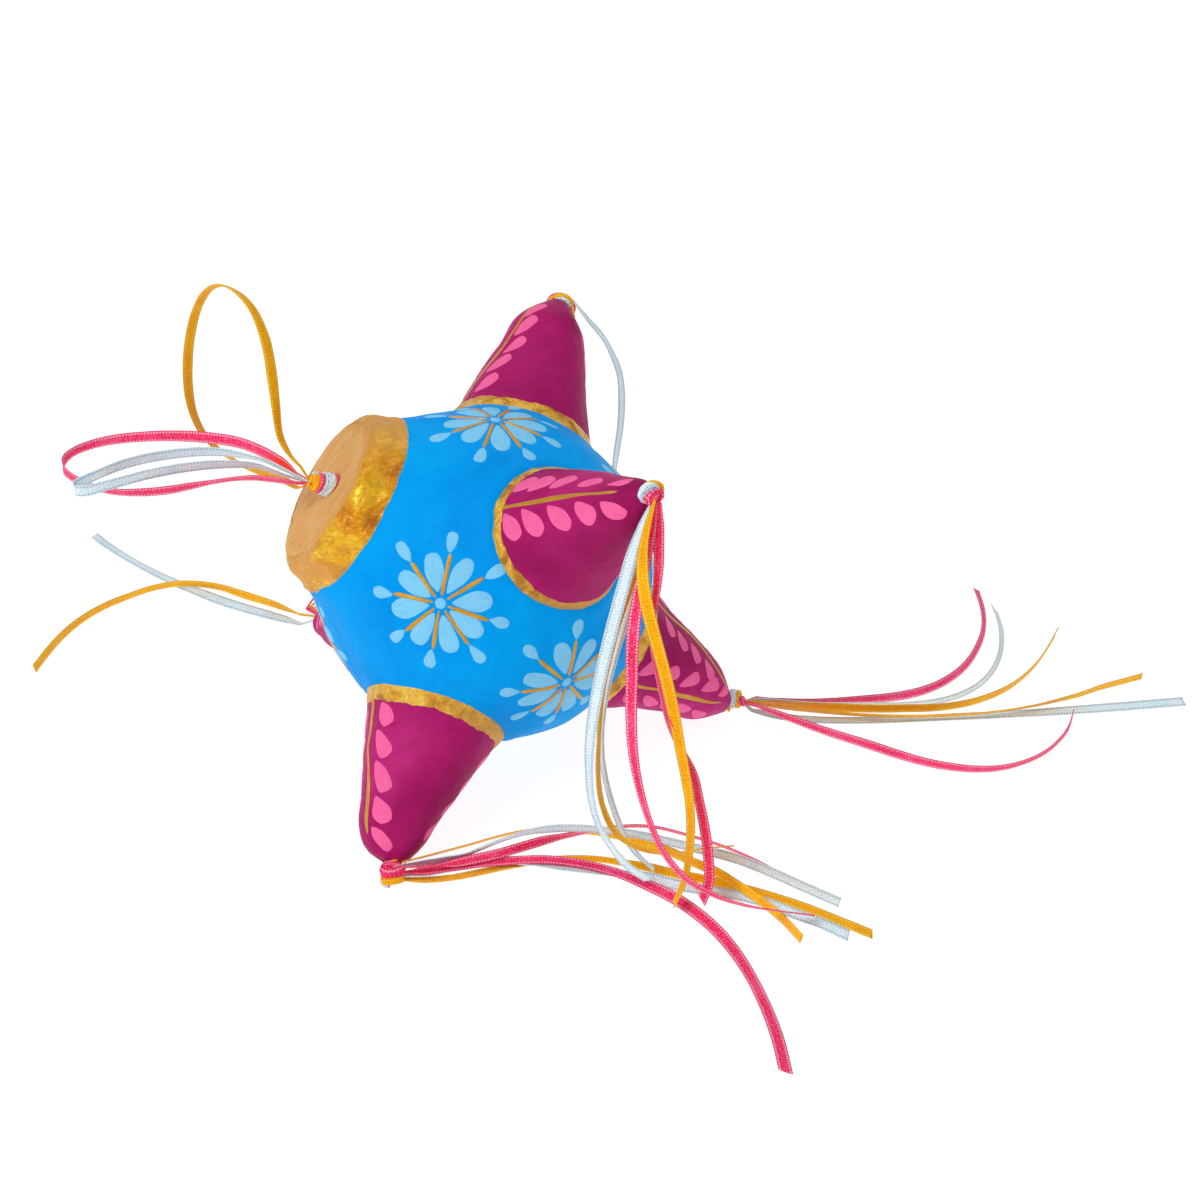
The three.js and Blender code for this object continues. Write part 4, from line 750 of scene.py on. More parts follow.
        (-43.8, 68.1, 1.7, 14), (-38.6, 73.3, 1.7, -6), (-32.8, 78.1, 1.7, -6),
        (-26.4, 82.3, 1.7, -6), (-19.6, 85.9, 1.7, -6), (-12.4, 89.1, 1.7, -6),
        (-5, 91.9, 1.7, -6), (2.6, 94.1, 1.7, -6), (10.4, 95.7, 1.7, -6), (18.2, 96.5, 1.7, -6),
        (25.8, 96.5, 1.7, -6), (33.2, 95.5, 1.7, -6),
    )),
    "tail_e_pink_2": ((0, 0, 1), 0, (
        (-58.7, 54.9, 2.9, 25), (-56.6, 61.1, 2.2, 26), (-53.6, 68.1, 1.7, 27),
        (-49.6, 75.9, 1.7, 15), (-44.8, 83.5, 1.7, 6), (-38.8, 90.1, 1.7, -7),
        (-32, 96.1, 1.7, -7), (-24.4, 101.1, 1.7, -7), (-16.4, 105.3, 1.7, -7),
        (-7.8, 108.7, 1.7, -7), (1, 111.1, 1.7, -7), (10, 112.5, 1.7, -7), (18.8, 112.5, 1.7, -7),
        (27.2, 111.3, 1.7, -7), (34.8, 109.1, 1.7, -7),
    )),
    "tail_e_silver_1": ((0, 1, 0), 0, (
        (-60.5, 50, 0.8, 8), (-64.6, 52.9, 0.5, 2), (-69.4, 55.7, 0.5, -5), (-74.4, 58.5, 0.5, -8),
        (-79.4, 61.5, 0.5, -10), (-84.4, 64.9, 0.5, -11), (-89.2, 68.5, 0.5, -4),
        (-93.8, 72.1, 0.5, 2), (-98.2, 75.9, 0.5, 8), (-102.6, 79.9, 0.5, 14),
        (-106.8, 84.1, 0.5, 16), (-110.8, 88.3, 0.5, 16), (-114.4, 92.5, 0.5, 16),
        (-117.8, 96.7, 0.5, 16), (-120.8, 100.9, 0.5, 16),
    )),
    "tail_e_silver_2": ((0, 0, 1), 0, (
        (-56.6, 55.2, 2.9, 43), (-53.7, 58.9, 2.2, 39), (-50, 64.5, 1.7, 28),
        (-45.6, 70.7, 1.7, 11), (-40.6, 76.7, 1.7, -8), (-34.8, 82.1, 1.7, -8),
        (-28.2, 86.9, 1.7, -8), (-21, 90.9, 1.7, -8), (-13.4, 94.5, 1.7, -8),
        (-5.6, 97.3, 1.7, -8), (2.6, 99.5, 1.7, -8), (11, 100.9, 1.7, -8), (19.4, 101.3, 1.7, -8),
        (27.4, 100.5, 1.7, -8), (34.8, 98.9, 1.7, -8),
    )),
    "tail_e_gold_1": ((0, 0, 1), 0, (
        (-60.6, 51.4, 3.1, -39), (-65.6, 56.1, 2.6, -22), (-70.6, 60.5, 1.9, -15),
        (-76.6, 64.5, 1.7, -12), (-82.8, 67.5, 2.4, -21), (-89.4, 69.3, 2.8, -25),
        (-96.2, 69.7, 2.8, -27), (-102.8, 68.5, 2.4, -27), (-109, 66.1, 1.7, -26),
        (-114.6, 62.3, 1.7, -22), (-119.6, 57.5, 1.7, -17), (-123.8, 51.9, 1.7, -11),
        (-127.2, 45.7, 1.7, -5), (-130, 39.1, 1.7, -1), (-132.4, 32.5, 1.7, -0),
    )),
    "tail_e_gold_2": ((0, 0, 1), 0, (
        (-57.8, 55.4, 2.9, 37), (-55.1, 60.1, 2.2, 34), (-51.8, 66.3, 1.7, 30),
        (-47.6, 73.3, 1.7, 17), (-42.6, 80.1, 1.7, 7), (-36.8, 86.1, 1.7, -6),
        (-30, 91.3, 1.7, -6), (-22.6, 95.9, 1.7, -6), (-14.8, 99.7, 1.7, -6),
        (-6.6, 102.9, 1.7, -6), (1.8, 105.3, 1.7, -6), (10.4, 106.7, 1.7, -6),
        (19, 106.9, 1.7, -6), (26.8, 105.7, 1.7, -6), (34.4, 103.9, 1.7, -6),
    )),
    "loop_gold": ((0.9, 0.4, 0), 0, (
        (-55.5, -5.1, 85.5, 47), (-57.8, -3.3, 87.6, 46), (-60, -1.5, 91.9, 33),
        (-60.7, -0.3, 100.1, 18), (-61.2, 0.9, 108.1, 8), (-62.2, 2.5, 116.7, 14),
        (-64.9, 4.7, 124.4, 33), (-68.5, 7.2, 127.9, 45), (-72.4, 9.7, 128.6, 54),
        (-75.8, 12.3, 126, 38), (-79, 14.9, 119.8, 31), (-81.5, 17.3, 110.8, 30),
        (-82.9, 19.1, 101.6, 27), (-83.3, 20.5, 92.8, 19), (-82.4, 21.7, 84.8, -0),
        (-80.1, 22.3, 78.6, -16), (-77, 20.7, 75.6, -23), (-73.2, 16.9, 74.8, -25),
        (-68.8, 11.7, 75.4, -7), (-64.2, 6.1, 76.6, 2), (-60, 0.3, 78.2, -5),
        (-56.7, -5.2, 79.2, -8),
    )),
    "loop_pink": ((0, 0, 1), 0, (
        (-56.6, -4.2, 82.4, 2), (-58.6, -0.5, 82.4, 2), (-61.9, 4.3, 82.2, 3),
        (-66.1, 9.3, 81.9, 4), (-71.1, 13.8, 81.6, 1), (-77.5, 17.3, 81.1, -0),
        (-83.9, 19.5, 80.7, -2), (-90.3, 20.9, 80.3, -8), (-96.7, 21.7, 79.8, -12),
        (-103, 21.6, 79.4, -16), (-108.8, 20.2, 79, -20), (-113.2, 17.4, 78.7, -20),
        (-115.4, 13.4, 78.5, -5), (-115.1, 9.5, 78.5, -8), (-112.6, 5.3, 78.6, 6),
        (-108.5, 1.1, 78.9, 15), (-104.4, -2.2, 79.2, 24), (-99.8, -4.2, 79.5, 24),
        (-94.1, -5.2, 79.9, 18), (-88.4, -5.3, 80.3, 17), (-83, -4.5, 80.7, 25),
        (-78.1, -3.6, 81, 37), (-72.7, -3.1, 81.4, 39), (-67.7, -3.5, 81.8, 32),
        (-62.7, -5.1, 82.1, 27), (-58.3, -7.1, 82.4, 24), (-56.6, -7.7, 82.4, 24),
    )),
    "loop_silver": ((0, 0, 1), 0, (
        (-56.6, -5.3, 82.8, -32), (-58.4, -3.7, 83, -33), (-61.4, -1.1, 83.2, -33),
        (-64.8, 1.5, 83.5, -35), (-68.8, 3.4, 83.8, -34), (-73.2, 4.9, 84, -23),
        (-78.2, 5.9, 84.1, -14), (-83.6, 5.9, 84.1, -11), (-89.3, 5, 84.1, -9),
        (-94.9, 3.4, 84.1, -8), (-100.2, 1, 84, -7), (-104.9, -2.1, 83.8, -9),
        (-108.6, -4.9, 83.6, 0), (-110.6, -7.1, 83.5, 6), (-110.4, -9.1, 83.5, 8),
        (-107.6, -9.6, 83.7, 8), (-103.5, -8.3, 84, 10), (-98.8, -6.2, 84, 14),
        (-93.8, -4, 84.1, 15), (-88.7, -2.3, 84.1, 16), (-83.4, -1, 84.1, 17),
        (-77.5, -0.3, 84.1, 21), (-71.6, -0.3, 84, 28), (-66.2, -0.9, 83.6, 36),
        (-61.9, -3.3, 83.2, 40), (-58.4, -5.5, 83, 42), (-56.6, -6.4, 82.8, 42),
    )),
}

CURVE_SAMPLES = 24


def smooth_line(points):
    """The centripetal Catmull-Rom curve through the points, with the share of each sample
    along the list of points."""
    points = np.asarray(points, float)
    ends = np.vstack([2 * points[0] - points[1], points, 2 * points[-1] - points[-2]])
    line, places = [], []
    for i in range(len(points) - 1):
        a, b, c, d = ends[i:i + 4]
        first, middle, last = (np.sum((q - p) ** 2) ** 0.25 for p, q in ((a, b), (b, c), (c, d)))
        leave = ((b - a) / first - (c - a) / (first + middle) + (c - b) / middle) * middle
        arrive = ((c - b) / middle - (d - b) / (middle + last) + (d - c) / last) * middle
        steps = np.arange(CURVE_SAMPLES + (i == len(points) - 2)) / CURVE_SAMPLES
        t = steps[:, None]
        bend = (-3 * b + 3 * c - 2 * leave - arrive) * t ** 2
        bend += (2 * b - 2 * c + leave + arrive) * t ** 3
        line.append(b + leave * t + bend)
        places.append(i + steps)
    return np.vstack(line), np.concatenate(places)


def ribbon_frame(route, side, twist):
    """Even steps along the route: place, direction, and the way the width lies."""
    route = [(*point, 0.0)[:4] for point in route]
    line, places = smooth_line([point[:3] for point in route])
    run = distances(line)
    even = np.linspace(0.0, run[-1], int(run[-1] / RIBBON_STEP) + 1)
    middle = np.stack([np.interp(even, run, line[:, k]) for k in range(3)], 1)
    lean = np.interp(np.interp(even, run, places), np.arange(len(route)), [p[3] for p in route])
    ahead = unit(np.gradient(middle, axis=0))
    width, widths = unit(side), []
    for direction in ahead:
        width = unit(width - direction * (width @ direction))
        widths.append(width)
    widths = np.array(widths)
    turn = np.radians(twist * even / run[-1] + lean)[:, None]
    through = np.cross(ahead, widths)
    return middle, ahead, widths * np.cos(turn) + through * np.sin(turn), even


# Share of its width that a ribbon has where it leaves its knot, how many millimetres it takes
# to grow by a whole width from there, how much narrower it is where it ends inside the knot,
# how far it runs in as a share of the way to the tails' root, and in how many rows.
GATHERED = 0.5
OPENING = 12
INNER_NARROWING = 0.15
INNER_REACH = 0.85
INNER_ROWS = 5


def ribbon(name, colour, side, twist, route, anchor, both_ends):
    middle, ahead, width, run = ribbon_frame(route, side, twist)
    # The band opens out over the first millimetres from the knot.
    spread = np.minimum(1.0, GATHERED + run / OPENING)
    if both_ends:
        spread = np.minimum(spread, GATHERED + (run[-1] - run) / OPENING)
    # Where it enters the knot the band is gathered and runs in under the wraps.
    for end in (0, -1) if both_ends else (0,):
        share = np.linspace(1.0, 0.0, INNER_ROWS, endpoint=False)
        inner = middle[end] + (anchor - middle[end]) * share[:, None] * INNER_REACH
        away = np.linalg.norm(inner - middle[end], axis=1)
        rows = [inner, np.repeat(ahead[[end]], INNER_ROWS, 0),
                np.repeat(width[[end]], INNER_ROWS, 0), GATHERED - INNER_NARROWING * share,
                run[end] - away if end == 0 else run[end] + away]
        both = zip(rows, (middle, ahead, width, spread, run))
        middle, ahead, width, spread, run = (
            np.concatenate((new, old) if end == 0 else (old, new[::-1])) for new, old in both
        )
    # Each free end is cut at its own slant, and each texture starts at its own place.
    seed = sum(ord(letter) * (i + 3) for i, letter in enumerate(name))
    start = seed % 97
    cut = (0.5 + 0.35 * math.sin(seed)) * (1 if seed % 2 else -1)
    through = np.cross(ahead, width)[:, None]
    t = BAND[None, :, None]
    half = RIBBON_WIDTH / 2 * spread[:, None, None]
    sheet = middle[:, None] + width[:, None] * t * half
    sheet = sheet + through * RIBBON_CUP * (t ** 2 - 0.4)
    if not both_ends:
        sheet[-1] += ahead[-1] * cut * BAND[:, None]
    thick = RIBBON_THICKNESS / 2 * (1 - 0.35 * t ** 6) * BAND_FACE[None, :, None]
    shell = Shell()
    shell.add(sheet + through * thick, band(len(sheet)), 0,
              stacked(run[:, None] + start, BAND_SHARE))
    finish = RIBBONS[colour]
    # Near its knot the pink loop gets painted light: a redder colour where light shines through
    # it.
    if name == "loop_pink":
        finish = satin("ribbon_pink_painted_glow", *RIBBON_COLOURS[colour],
                       (start + 8.0, start + 15.0, PAINTED_GLOW_PINK))
    piece = belongs(shell.make("ribbon_" + name, [finish]), name)


def mouth(name):
    """The hole that a knot comes out of, and the direction out of it."""
    if name == "cap":
        hole = np.array([*CAP_HOLE, CAP_FACE_HEIGHT])
        return STAR_CENTRE + hole @ CAP_BASIS, CAP_BASIS[2]
    out = placement(*CONES[name][:2])[2]
    return STAR_CENTRE + out * (CONES[name][2] + KNOT_RISE.get(name, 0.0)), out


for name, values in ROUTES.items():
    kind, *rest = name.split("_")
    knot, colour = ("cap", *rest) if kind == "loop" else rest[:2]
    root = mouth(knot)[0] + np.array(TAIL_ROOTS[knot]) @ VIEW
    ribbon(name, colour, *values, root, kind == "loop")

# Lumps

def waves(seed, count, longest, shortest, height):
    """Low waves in all directions, from long and high to short and low."""
    source = np.random.default_rng(seed)
    lengths = np.geomspace(longest, shortest, count)
    turns = unit(source.normal(size=(count, 3))) * (2 * math.pi / lengths)[:, None]
    heights = height * (lengths / longest) ** 1.15 / math.sqrt(count / 4)
    return turns, source.uniform(0, 2 * math.pi, count), heights


def lump(points, wave):
    turns, phases, heights = wave
    points = np.asarray(points, float)
    flat = points.reshape(-1, 3)
    return (np.sin(flat @ turns.T + phases) @ heights).reshape(points.shape[:-1])


HAND_WAVES = waves(7, 22, 46.0, 9.0, 0.5)
LEAF_WAVES = waves(11, 18, 7.0, 1.6, 0.13)
CRUMPLE_WAVES = waves(5, 16, 15.0, 3.0, 0.42)

# Globe

GLOBE_SEGMENTS = 264
GLOBE_ROWS = (132, 30)
NECK_RIM = math.hypot(NECK_RADIUS, NECK_HEIGHT)
NECK_TANGENT = math.atan2(NECK_RADIUS, NECK_HEIGHT) + math.acos(GLOBE_RADIUS / NECK_RIM)


# The paper built up round each cone's foot: its height, half its width, how far it lies out
# from the foot, and the height that two of them together don't pass.
FILLET_HEIGHT = 0.5
FILLET_WIDTH = 2.2
FILLET_ASIDE = 0.2
FILLET_LIMIT = 1.3


def fillet(direction):
    """The paper built up round the foot of each cone."""
    total = 0.0
    foot = math.asin(CONE_FOOT_RADIUS / (GLOBE_RADIUS + CLEARANCE))
    for azimuth, elevation, *_ in CONES.values():
        angle = np.arccos(np.clip(direction @ placement(azimuth, elevation)[2], -1, 1))
        aside = (angle - foot) * GLOBE_RADIUS - FILLET_ASIDE
        total = total + FILLET_HEIGHT * np.exp(-(aside / FILLET_WIDTH) ** 2)
    return np.minimum(total, FILLET_LIMIT)


def on_globe(direction, lift=0.0):
    """The outside of the globe, which runs straight from a tangent into its neck."""
    direction = unit(direction)
    polar = np.arccos(np.clip(direction @ CAP_BASIS[2], -1, 1))
    radius = GLOBE_RADIUS / np.cos(np.maximum(NECK_TANGENT - polar, 0))
    push = lump(direction * GLOBE_RADIUS, HAND_WAVES) + fillet(direction)
    push = push * np.clip((NECK_HEIGHT - radius * np.cos(polar)) / 4, 0, 1)
    return STAR_CENTRE + direction * (radius + push + lift)[..., None]


def turned(profile, segments, basis):
    """Points of a profile of radius and height turned about an axis through the centre."""
    angle = circle(segments)
    radius, height = profile[:, :1], profile[:, 1:]
    return stacked(radius * np.cos(angle), radius * np.sin(angle), height) @ basis


def globe_profile(radius, count, rim_radius):
    polar = np.linspace(math.pi, NECK_TANGENT, count)
    arc = np.stack([radius * np.sin(polar), radius * np.cos(polar)], 1)
    rise = np.linspace(0.1, 1, 10)[:, None]
    return np.vstack([arc, arc[-1] + (np.array([rim_radius, NECK_HEIGHT]) - arc[-1]) * rise])


# Brush shapes: how the half width runs from the start of a stroke to its end.

def drop_shape(share):
    return 2.49 * share ** 0.9 * np.sqrt(1 - share)


def leaf_shape(share):
    return 2.18 * share ** 0.85 * (1 - share) ** 0.4


def ray_shape(share):
    return (1 - (2 * share - 1) ** 8) * (0.7 + 0.3 * share)


# Places along a stroke and over its width. The edges of all paint dip this far under the
# surface, and this many millimetres of a surface take up one step of its texture.
SHARE = np.linspace(0.0, 1.0, 17)
STROKE_ACROSS = np.linspace(-1, 1, 9)
EDGE_DIP = 0.08
TEXTURE_STEP = 8
DOT_STEPS = np.array([0.03, 0.4, 0.75, 0.95, 1.0])
DOT_SEGMENTS = 20
BRUSH = np.random.default_rng(23)


def stroke(shell, chart, start, end, width, shape, slot, lift=0.11):
    """Paint laid on a surface between two places of its chart, in millimetres."""
    start, end = np.asarray(start, float), np.asarray(end, float)
    ahead = end - start
    length = math.hypot(*ahead)
    beside = np.array([-ahead[1], ahead[0]]) / length
    wobble = 1 + 0.07 * np.sin(SHARE * 7 + BRUSH.uniform(0, 6))
    half = width / 2 * shape(SHARE) * wobble * BRUSH.uniform(0.94, 1.06)
    middle = start + ahead * SHARE[:, None]
    flat = middle[:, None] + beside * (STROKE_ACROSS * half[:, None])[..., None]
    rim = np.maximum(np.abs(STROKE_ACROSS) ** 6, (np.abs(2 * SHARE - 1) ** 24)[:, None])
    points = chart(flat, lift - (lift + EDGE_DIP) * rim)
    along = SHARE[:, None] * length / TEXTURE_STEP + BRUSH.uniform(0, 9)
    shell.add(points, grid(len(SHARE), len(STROKE_ACROSS)), slot,
              stacked(along, STROKE_ACROSS / 2))


def dot(shell, chart, radius, slot, lift):
    """A round dab of paint in the middle of a chart."""
    around = circle(DOT_SEGMENTS)
    ring = np.stack([np.cos(around), np.sin(around)], -1)
    flat = radius * DOT_STEPS[:, None, None] * ring
    points = chart(flat, (lift - (lift + EDGE_DIP) * DOT_STEPS ** 10)[:, None])
    shell.add(points, grid(len(DOT_STEPS), DOT_SEGMENTS, False, True), slot, flat / TEXTURE_STEP)


# Flowers: azimuth and elevation of the middle on the globe, the angles of the rays and of
# the petals between them. The angles count from level, towards the azimuth's growth.
EVEN = tuple(range(10, 370, 45))
BETWEEN = tuple(range(32, 392, 45))
FLOWERS = [
    (49.7, 82.3, (-72, -22, 22, 67, 114, 161, 201, 243), (-46, -6, 46, 89, 136, 182, 221, 264)),
    (-107.7, 23.3, (86, 37, -14, -52, -97, -136, 177, 134),
     (108, 62, 9, -33, -75, -119, -164, 153)),
    (-64.4, -10.3, (78, 130, 179, -134, -96, -58, -12, 23),
     (99, 50, 158, -160, -115, -77, -32, 4)),
]
# The photograph doesn't show the flowers in the middle between these cones.
OCTANTS = [("d", "a", "b"), ("cap", "c", "e"), ("cap", "a", "e"), ("d", "a", "e"), ("d", "c", "e")]
AXES = {key: placement(*values[:2])[2] for key, values in CONES.items()}
AXES["cap"] = CAP_BASIS[2]
for octant in OCTANTS:
    middle = unit(sum(AXES[key] for key in octant))
    FLOWERS.append((math.degrees(math.atan2(middle[1], middle[0])),
                    math.degrees(math.asin(middle[2])), EVEN, BETWEEN))


# Where the parts of a flower start and end from its middle, and how wide they are.
PETAL = (2.6, 13.0, 5.3)
RAY = (1.6, 12.4, 1.25)
RAY_TIP = (12.2, 18.0, 3.4)
EYE_RADIUS = 1.4
RAY_LIFT = 0.2
EYE_LIFT = 0.26


def flower(shell, azimuth, elevation, rays, petals):
    aside, up, out = placement(azimuth, elevation)

    def chart(flat, lift):
        distance = np.linalg.norm(flat, axis=-1)[..., None]
        angle = distance / GLOBE_RADIUS
        heading = (flat[..., :1] * aside + flat[..., 1:] * up) / np.maximum(distance, 1e-9)
        return on_globe(out * np.cos(angle) + heading * np.sin(angle), lift)

    def at(angle, distance):
        turn = math.radians(angle)
        return distance * math.cos(turn), distance * math.sin(turn)

    start, end, width = PETAL
    for angle in petals:
        far = end + BRUSH.uniform(-0.5, 0.4)
        stroke(shell, chart, at(angle, start), at(angle, far), width, drop_shape, 1)
    for angle in rays:
        tip = angle + BRUSH.uniform(-2, 2)
        start, end, width = RAY
        stroke(shell, chart, at(angle, start), at(angle, end), width, ray_shape, 2, RAY_LIFT)
        start, end, width = RAY_TIP
        far = end + BRUSH.uniform(-0.6, 0.3)
        stroke(shell, chart, at(tip, start), at(tip, far), width, drop_shape, 1)
    dot(shell, chart, EYE_RADIUS, 1, EYE_LIFT)


def build_globe():
    shell = Shell()
    outside = globe_profile(GLOBE_RADIUS, GLOBE_ROWS[0], NECK_RADIUS)
    inside = globe_profile(GLOBE_RADIUS - GLOBE_WALL, GLOBE_ROWS[1], NECK_RADIUS - NECK_WALL)
    outer = on_globe(turned(outside, GLOBE_SEGMENTS, CAP_BASIS))
    inner = turned(inside[::-1], GLOBE_SEGMENTS, CAP_BASIS) + STAR_CENTRE
    points = np.concatenate([outer, inner])
    shell.add(points, tube(len(points), GLOBE_SEGMENTS))
    for values in FLOWERS:
        flower(shell, *values)
    piece = merged(shell.make("paper_globe", [BLUE, PALE_BLUE, FLOWER_GOLD]))
    belongs(piece, "globe_shell")


build_globe()

# Cones

# The painted line of each cone side: angle about the axis at heights along it, and the
# leaves on each side of it as height and angle of the point and of the round end. Sides
# that the photograph doesn't show get the usual spacing.
LINES = {
    "a": (((36, 43), (41, 53), (44, 63), (56, 71)), ((221, 43), (216, 58), (222, 73))),
    "b": (((136, 41.3), (135, 50), (132, 57), (132, 65), (137, 71), (144, 77.5)),
          ((318, 43), (312, 60), (320, 76))),
    "c": (((139, 42.5), (139, 46), (140, 49.3), (142, 52.6), (138, 57.2), (137, 61.2), (136, 65.2),
           (132, 68.7), (130, 71.4), (130, 74)), ((-37, 43), (-42, 58), (-37, 73))),
    "d": (((98, 43), (96, 47), (86, 57), (98, 65), (112, 72)),
          ((178, 43), (178, 47), (173, 54), (172, 61), (167, 70), (160, 73.5), (146, 76.4))),
    "e": (((60, 43), (54, 58), (62, 73)), ((226, 43), (220, 58), (230, 73))),
}
LEAVES = {
    ("a", 0, 1): ((43.9, 48, 48.9, 66), (50.5, 48, 55.9, 67), (57.3, 52, 62.3, 73),
                  (63.5, 52, 69.4, 76), (69.5, 56, 74.7, 74)),
    ("b", 0, 1): ((42.2, 141, 46.3, 165), (47.8, 140, 53.5, 168), (55.4, 141, 62.3, 173),
                  (64.4, 145, 69.5, 180), (72.4, 157, 77.1, 196)),
    ("b", 0, -1): ((42.4, 121, 46.1, 102), (47.3, 122, 50.8, 98), (53.2, 117, 57.5, 92),
                   (61.5, 113, 66.5, 90), (71.2, 112, 78.6, 102)),
    ("c", 0, -1): ((42.5, 125, 47.5, 114), (49.1, 128, 55, 112), (56.5, 126, 63.3, 106),
                   (64.9, 120, 70.5, 98), (72.3, 120, 75.9, 93)),
    ("d", 0, 1): ((45.8, 103, 49.8, 117), (51.3, 104, 55.2, 121), (56.8, 105, 60.9, 122),
                  (63.1, 109, 67.4, 126)),
    ("d", 1, -1): ((43.6, 168, 48, 152), (50.5, 161, 55.4, 148), (57.6, 162, 62.6, 140),
                   (65.5, 154, 70.1, 128), (72, 148, 75.7, 114)),
    ("d", 1, 1): ((44, 186, 48.7, 199), (50.2, 185, 55.5, 199), (56.2, 185, 61.2, 201),
                  (61.8, 185, 66.4, 199), (67.6, 191, 72.1, 205)),
}
USUAL_HEIGHTS = (44.0, 50.8, 57.8, 64.8, 71.0)
LEAF_POINT_ASIDE = 3.0
LEAF_ROUND_ASIDE = 7.4
LEAF_LENGTH = 5.2
LEAF_WIDTH = 4.2
BROAD_LEAVES = {("a", 0, 1): 5.0, ("b", 0, -1): 6.6, ("b", 0, 1): 5.6, ("c", 0, -1): 5.7}
RING_WIDTH = {"a": 3.3, "b": 3.3, "c": 3.7, "d": 3.8, "e": 3.5}
LINE_HALF_WIDTH = {"a": 0.62, "b": 0.78, "c": 0.66, "d": 0.62, "e": 0.62}
CONE_SEGMENTS = 132
CONE_ROWS = (78, 26)
OUTLINE_STEPS = 500
# The painted lines start this far over the foot and end this far before the tip.
LINE_START = 3.2
LINE_END = 4.5
LINE_ROWS = 60
LINE_ACROSS = np.linspace(-1, 1, 7)
# The leaf of a ring starts this far under the cone's foot.
RING_DEPTH = 1.2
RING_SEGMENTS = 240
RING_ACROSS = np.linspace(-1, 1, 11)


class Cone:
    """The outside of a cone in the star, with its outline over its height."""

    def __init__(self, name):
        azimuth, elevation, self.reach, shoulder_radius = CONES[name]
        self.basis = placement(azimuth, elevation)
        self.foot = math.sqrt((GLOBE_RADIUS + CLEARANCE) ** 2 - CONE_FOOT_RADIUS ** 2)
        self.start = self.foot - CONE_FOOT_DEPTH
        share = np.linspace(0, 1, 24)
        fall = 1 - share ** CONE_NOSE_POWER
        heights = [self.start, self.foot, CONE_FLARE_HEIGHT,
                   *(self.reach - CONE_NOSE + CONE_NOSE * share)]
        radii = [CONE_FOOT_RADIUS + 1.4, CONE_FOOT_RADIUS + 0.1, CONE_FLARE_RADIUS,
                 *(CONE_MOUTH_RADIUS + (shoulder_radius - CONE_MOUTH_RADIUS) * fall)]
        self.fine = np.linspace(self.start, self.reach, OUTLINE_STEPS)
        self.radii = self.rounded(np.interp(self.fine, heights, radii))
        self.dents = [(math.radians(middle), self.rounded(look_up(self.fine, table)))
                      for middle, table in DENTS[name]]

    def rounded(self, values):
        """An average over a few millimetres, which rounds the corners of the outline."""
        near_tip = np.clip((self.reach - self.fine) / 5.0, 0, 1)
        even = evened(values, 18, "reflect", reflect_type="odd")
        return even * near_tip + values * (1 - near_tip)

    def radius(self, height):
        return np.interp(height, self.fine, self.radii)

    def surface(self, height, angle, lift=0.0):
        """A point on the outside at this height and angle, with its hand-made lumps."""
        height, angle = np.broadcast_arrays(height, angle)
        radius = self.radius(height)
        for middle, pushes in self.dents:
            share = np.maximum(np.cos(angle - middle), 0.0) ** 2
            radius = radius + share * np.interp(height, self.fine, pushes)
        place = stacked(radius * np.cos(angle), radius * np.sin(angle), height) @ self.basis
        push = lump(place, HAND_WAVES) * np.clip((self.reach - height) / 8, 0, 1) + lift
        out = unit(place - self.basis[2] * height[..., None])
        return STAR_CENTRE + place + out * push[..., None]

    def chart(self, angle):
        """Chart with heights and the distance round the cone from the given angle."""
        def place(flat, lift):
            turn = flat[..., 1] / np.maximum(self.radius(flat[..., 0]), 1.0)
            return self.surface(flat[..., 0], angle + turn, lift)
        return place


def line_angle(height, line):
    angles, heights = zip(*line)
    return np.interp(height, heights, angles)


def painted_line(shell, cone, line, half_width):
    heights = np.linspace(cone.foot + LINE_START, cone.reach - LINE_END, LINE_ROWS)
    angles = evened(np.radians(line_angle(heights, line)), 4, "edge")
    share = np.linspace(0, 1, LINE_ROWS)
    half = half_width * (1 + 0.3 * np.sin(share * 9 + line[0][0])) * (1 - share ** 10) ** 0.5
    angle = angles[:, None] + LINE_ACROSS * (half / cone.radius(heights))[:, None]
    points = cone.surface(heights[:, None], angle, 0.15 - 0.22 * LINE_ACROSS ** 6)
    shell.add(points, grid(LINE_ROWS, len(LINE_ACROSS)), 2,
              stacked(heights[:, None] / TEXTURE_STEP, LINE_ACROSS / 2))


def usual_leaves(cone, line, side):
    found = []
    for height in USUAL_HEIGHTS:
        end = height + LEAF_LENGTH
        if end > cone.reach - 3.5:
            continue
        middle = math.radians(line_angle(height, line))
        start_angle = middle + side * LEAF_POINT_ASIDE / cone.radius(height)
        end_angle = middle + side * LEAF_ROUND_ASIDE / max(cone.radius(end), 8.5)
        found.append((height, math.degrees(start_angle), end, math.degrees(end_angle)))
    return found


def leaf(shell, cone, low, low_angle, high, high_angle, broad):
    turn = math.radians(high_angle - low_angle) * cone.radius((low + high) / 2)
    width = broad * min(1.0, 0.35 + cone.radius(high) / 13)
    stroke(shell, cone.chart(math.radians(low_angle)), (low, 0.0), (high + 0.4, turn * 1.05),
           width, leaf_shape, 1)


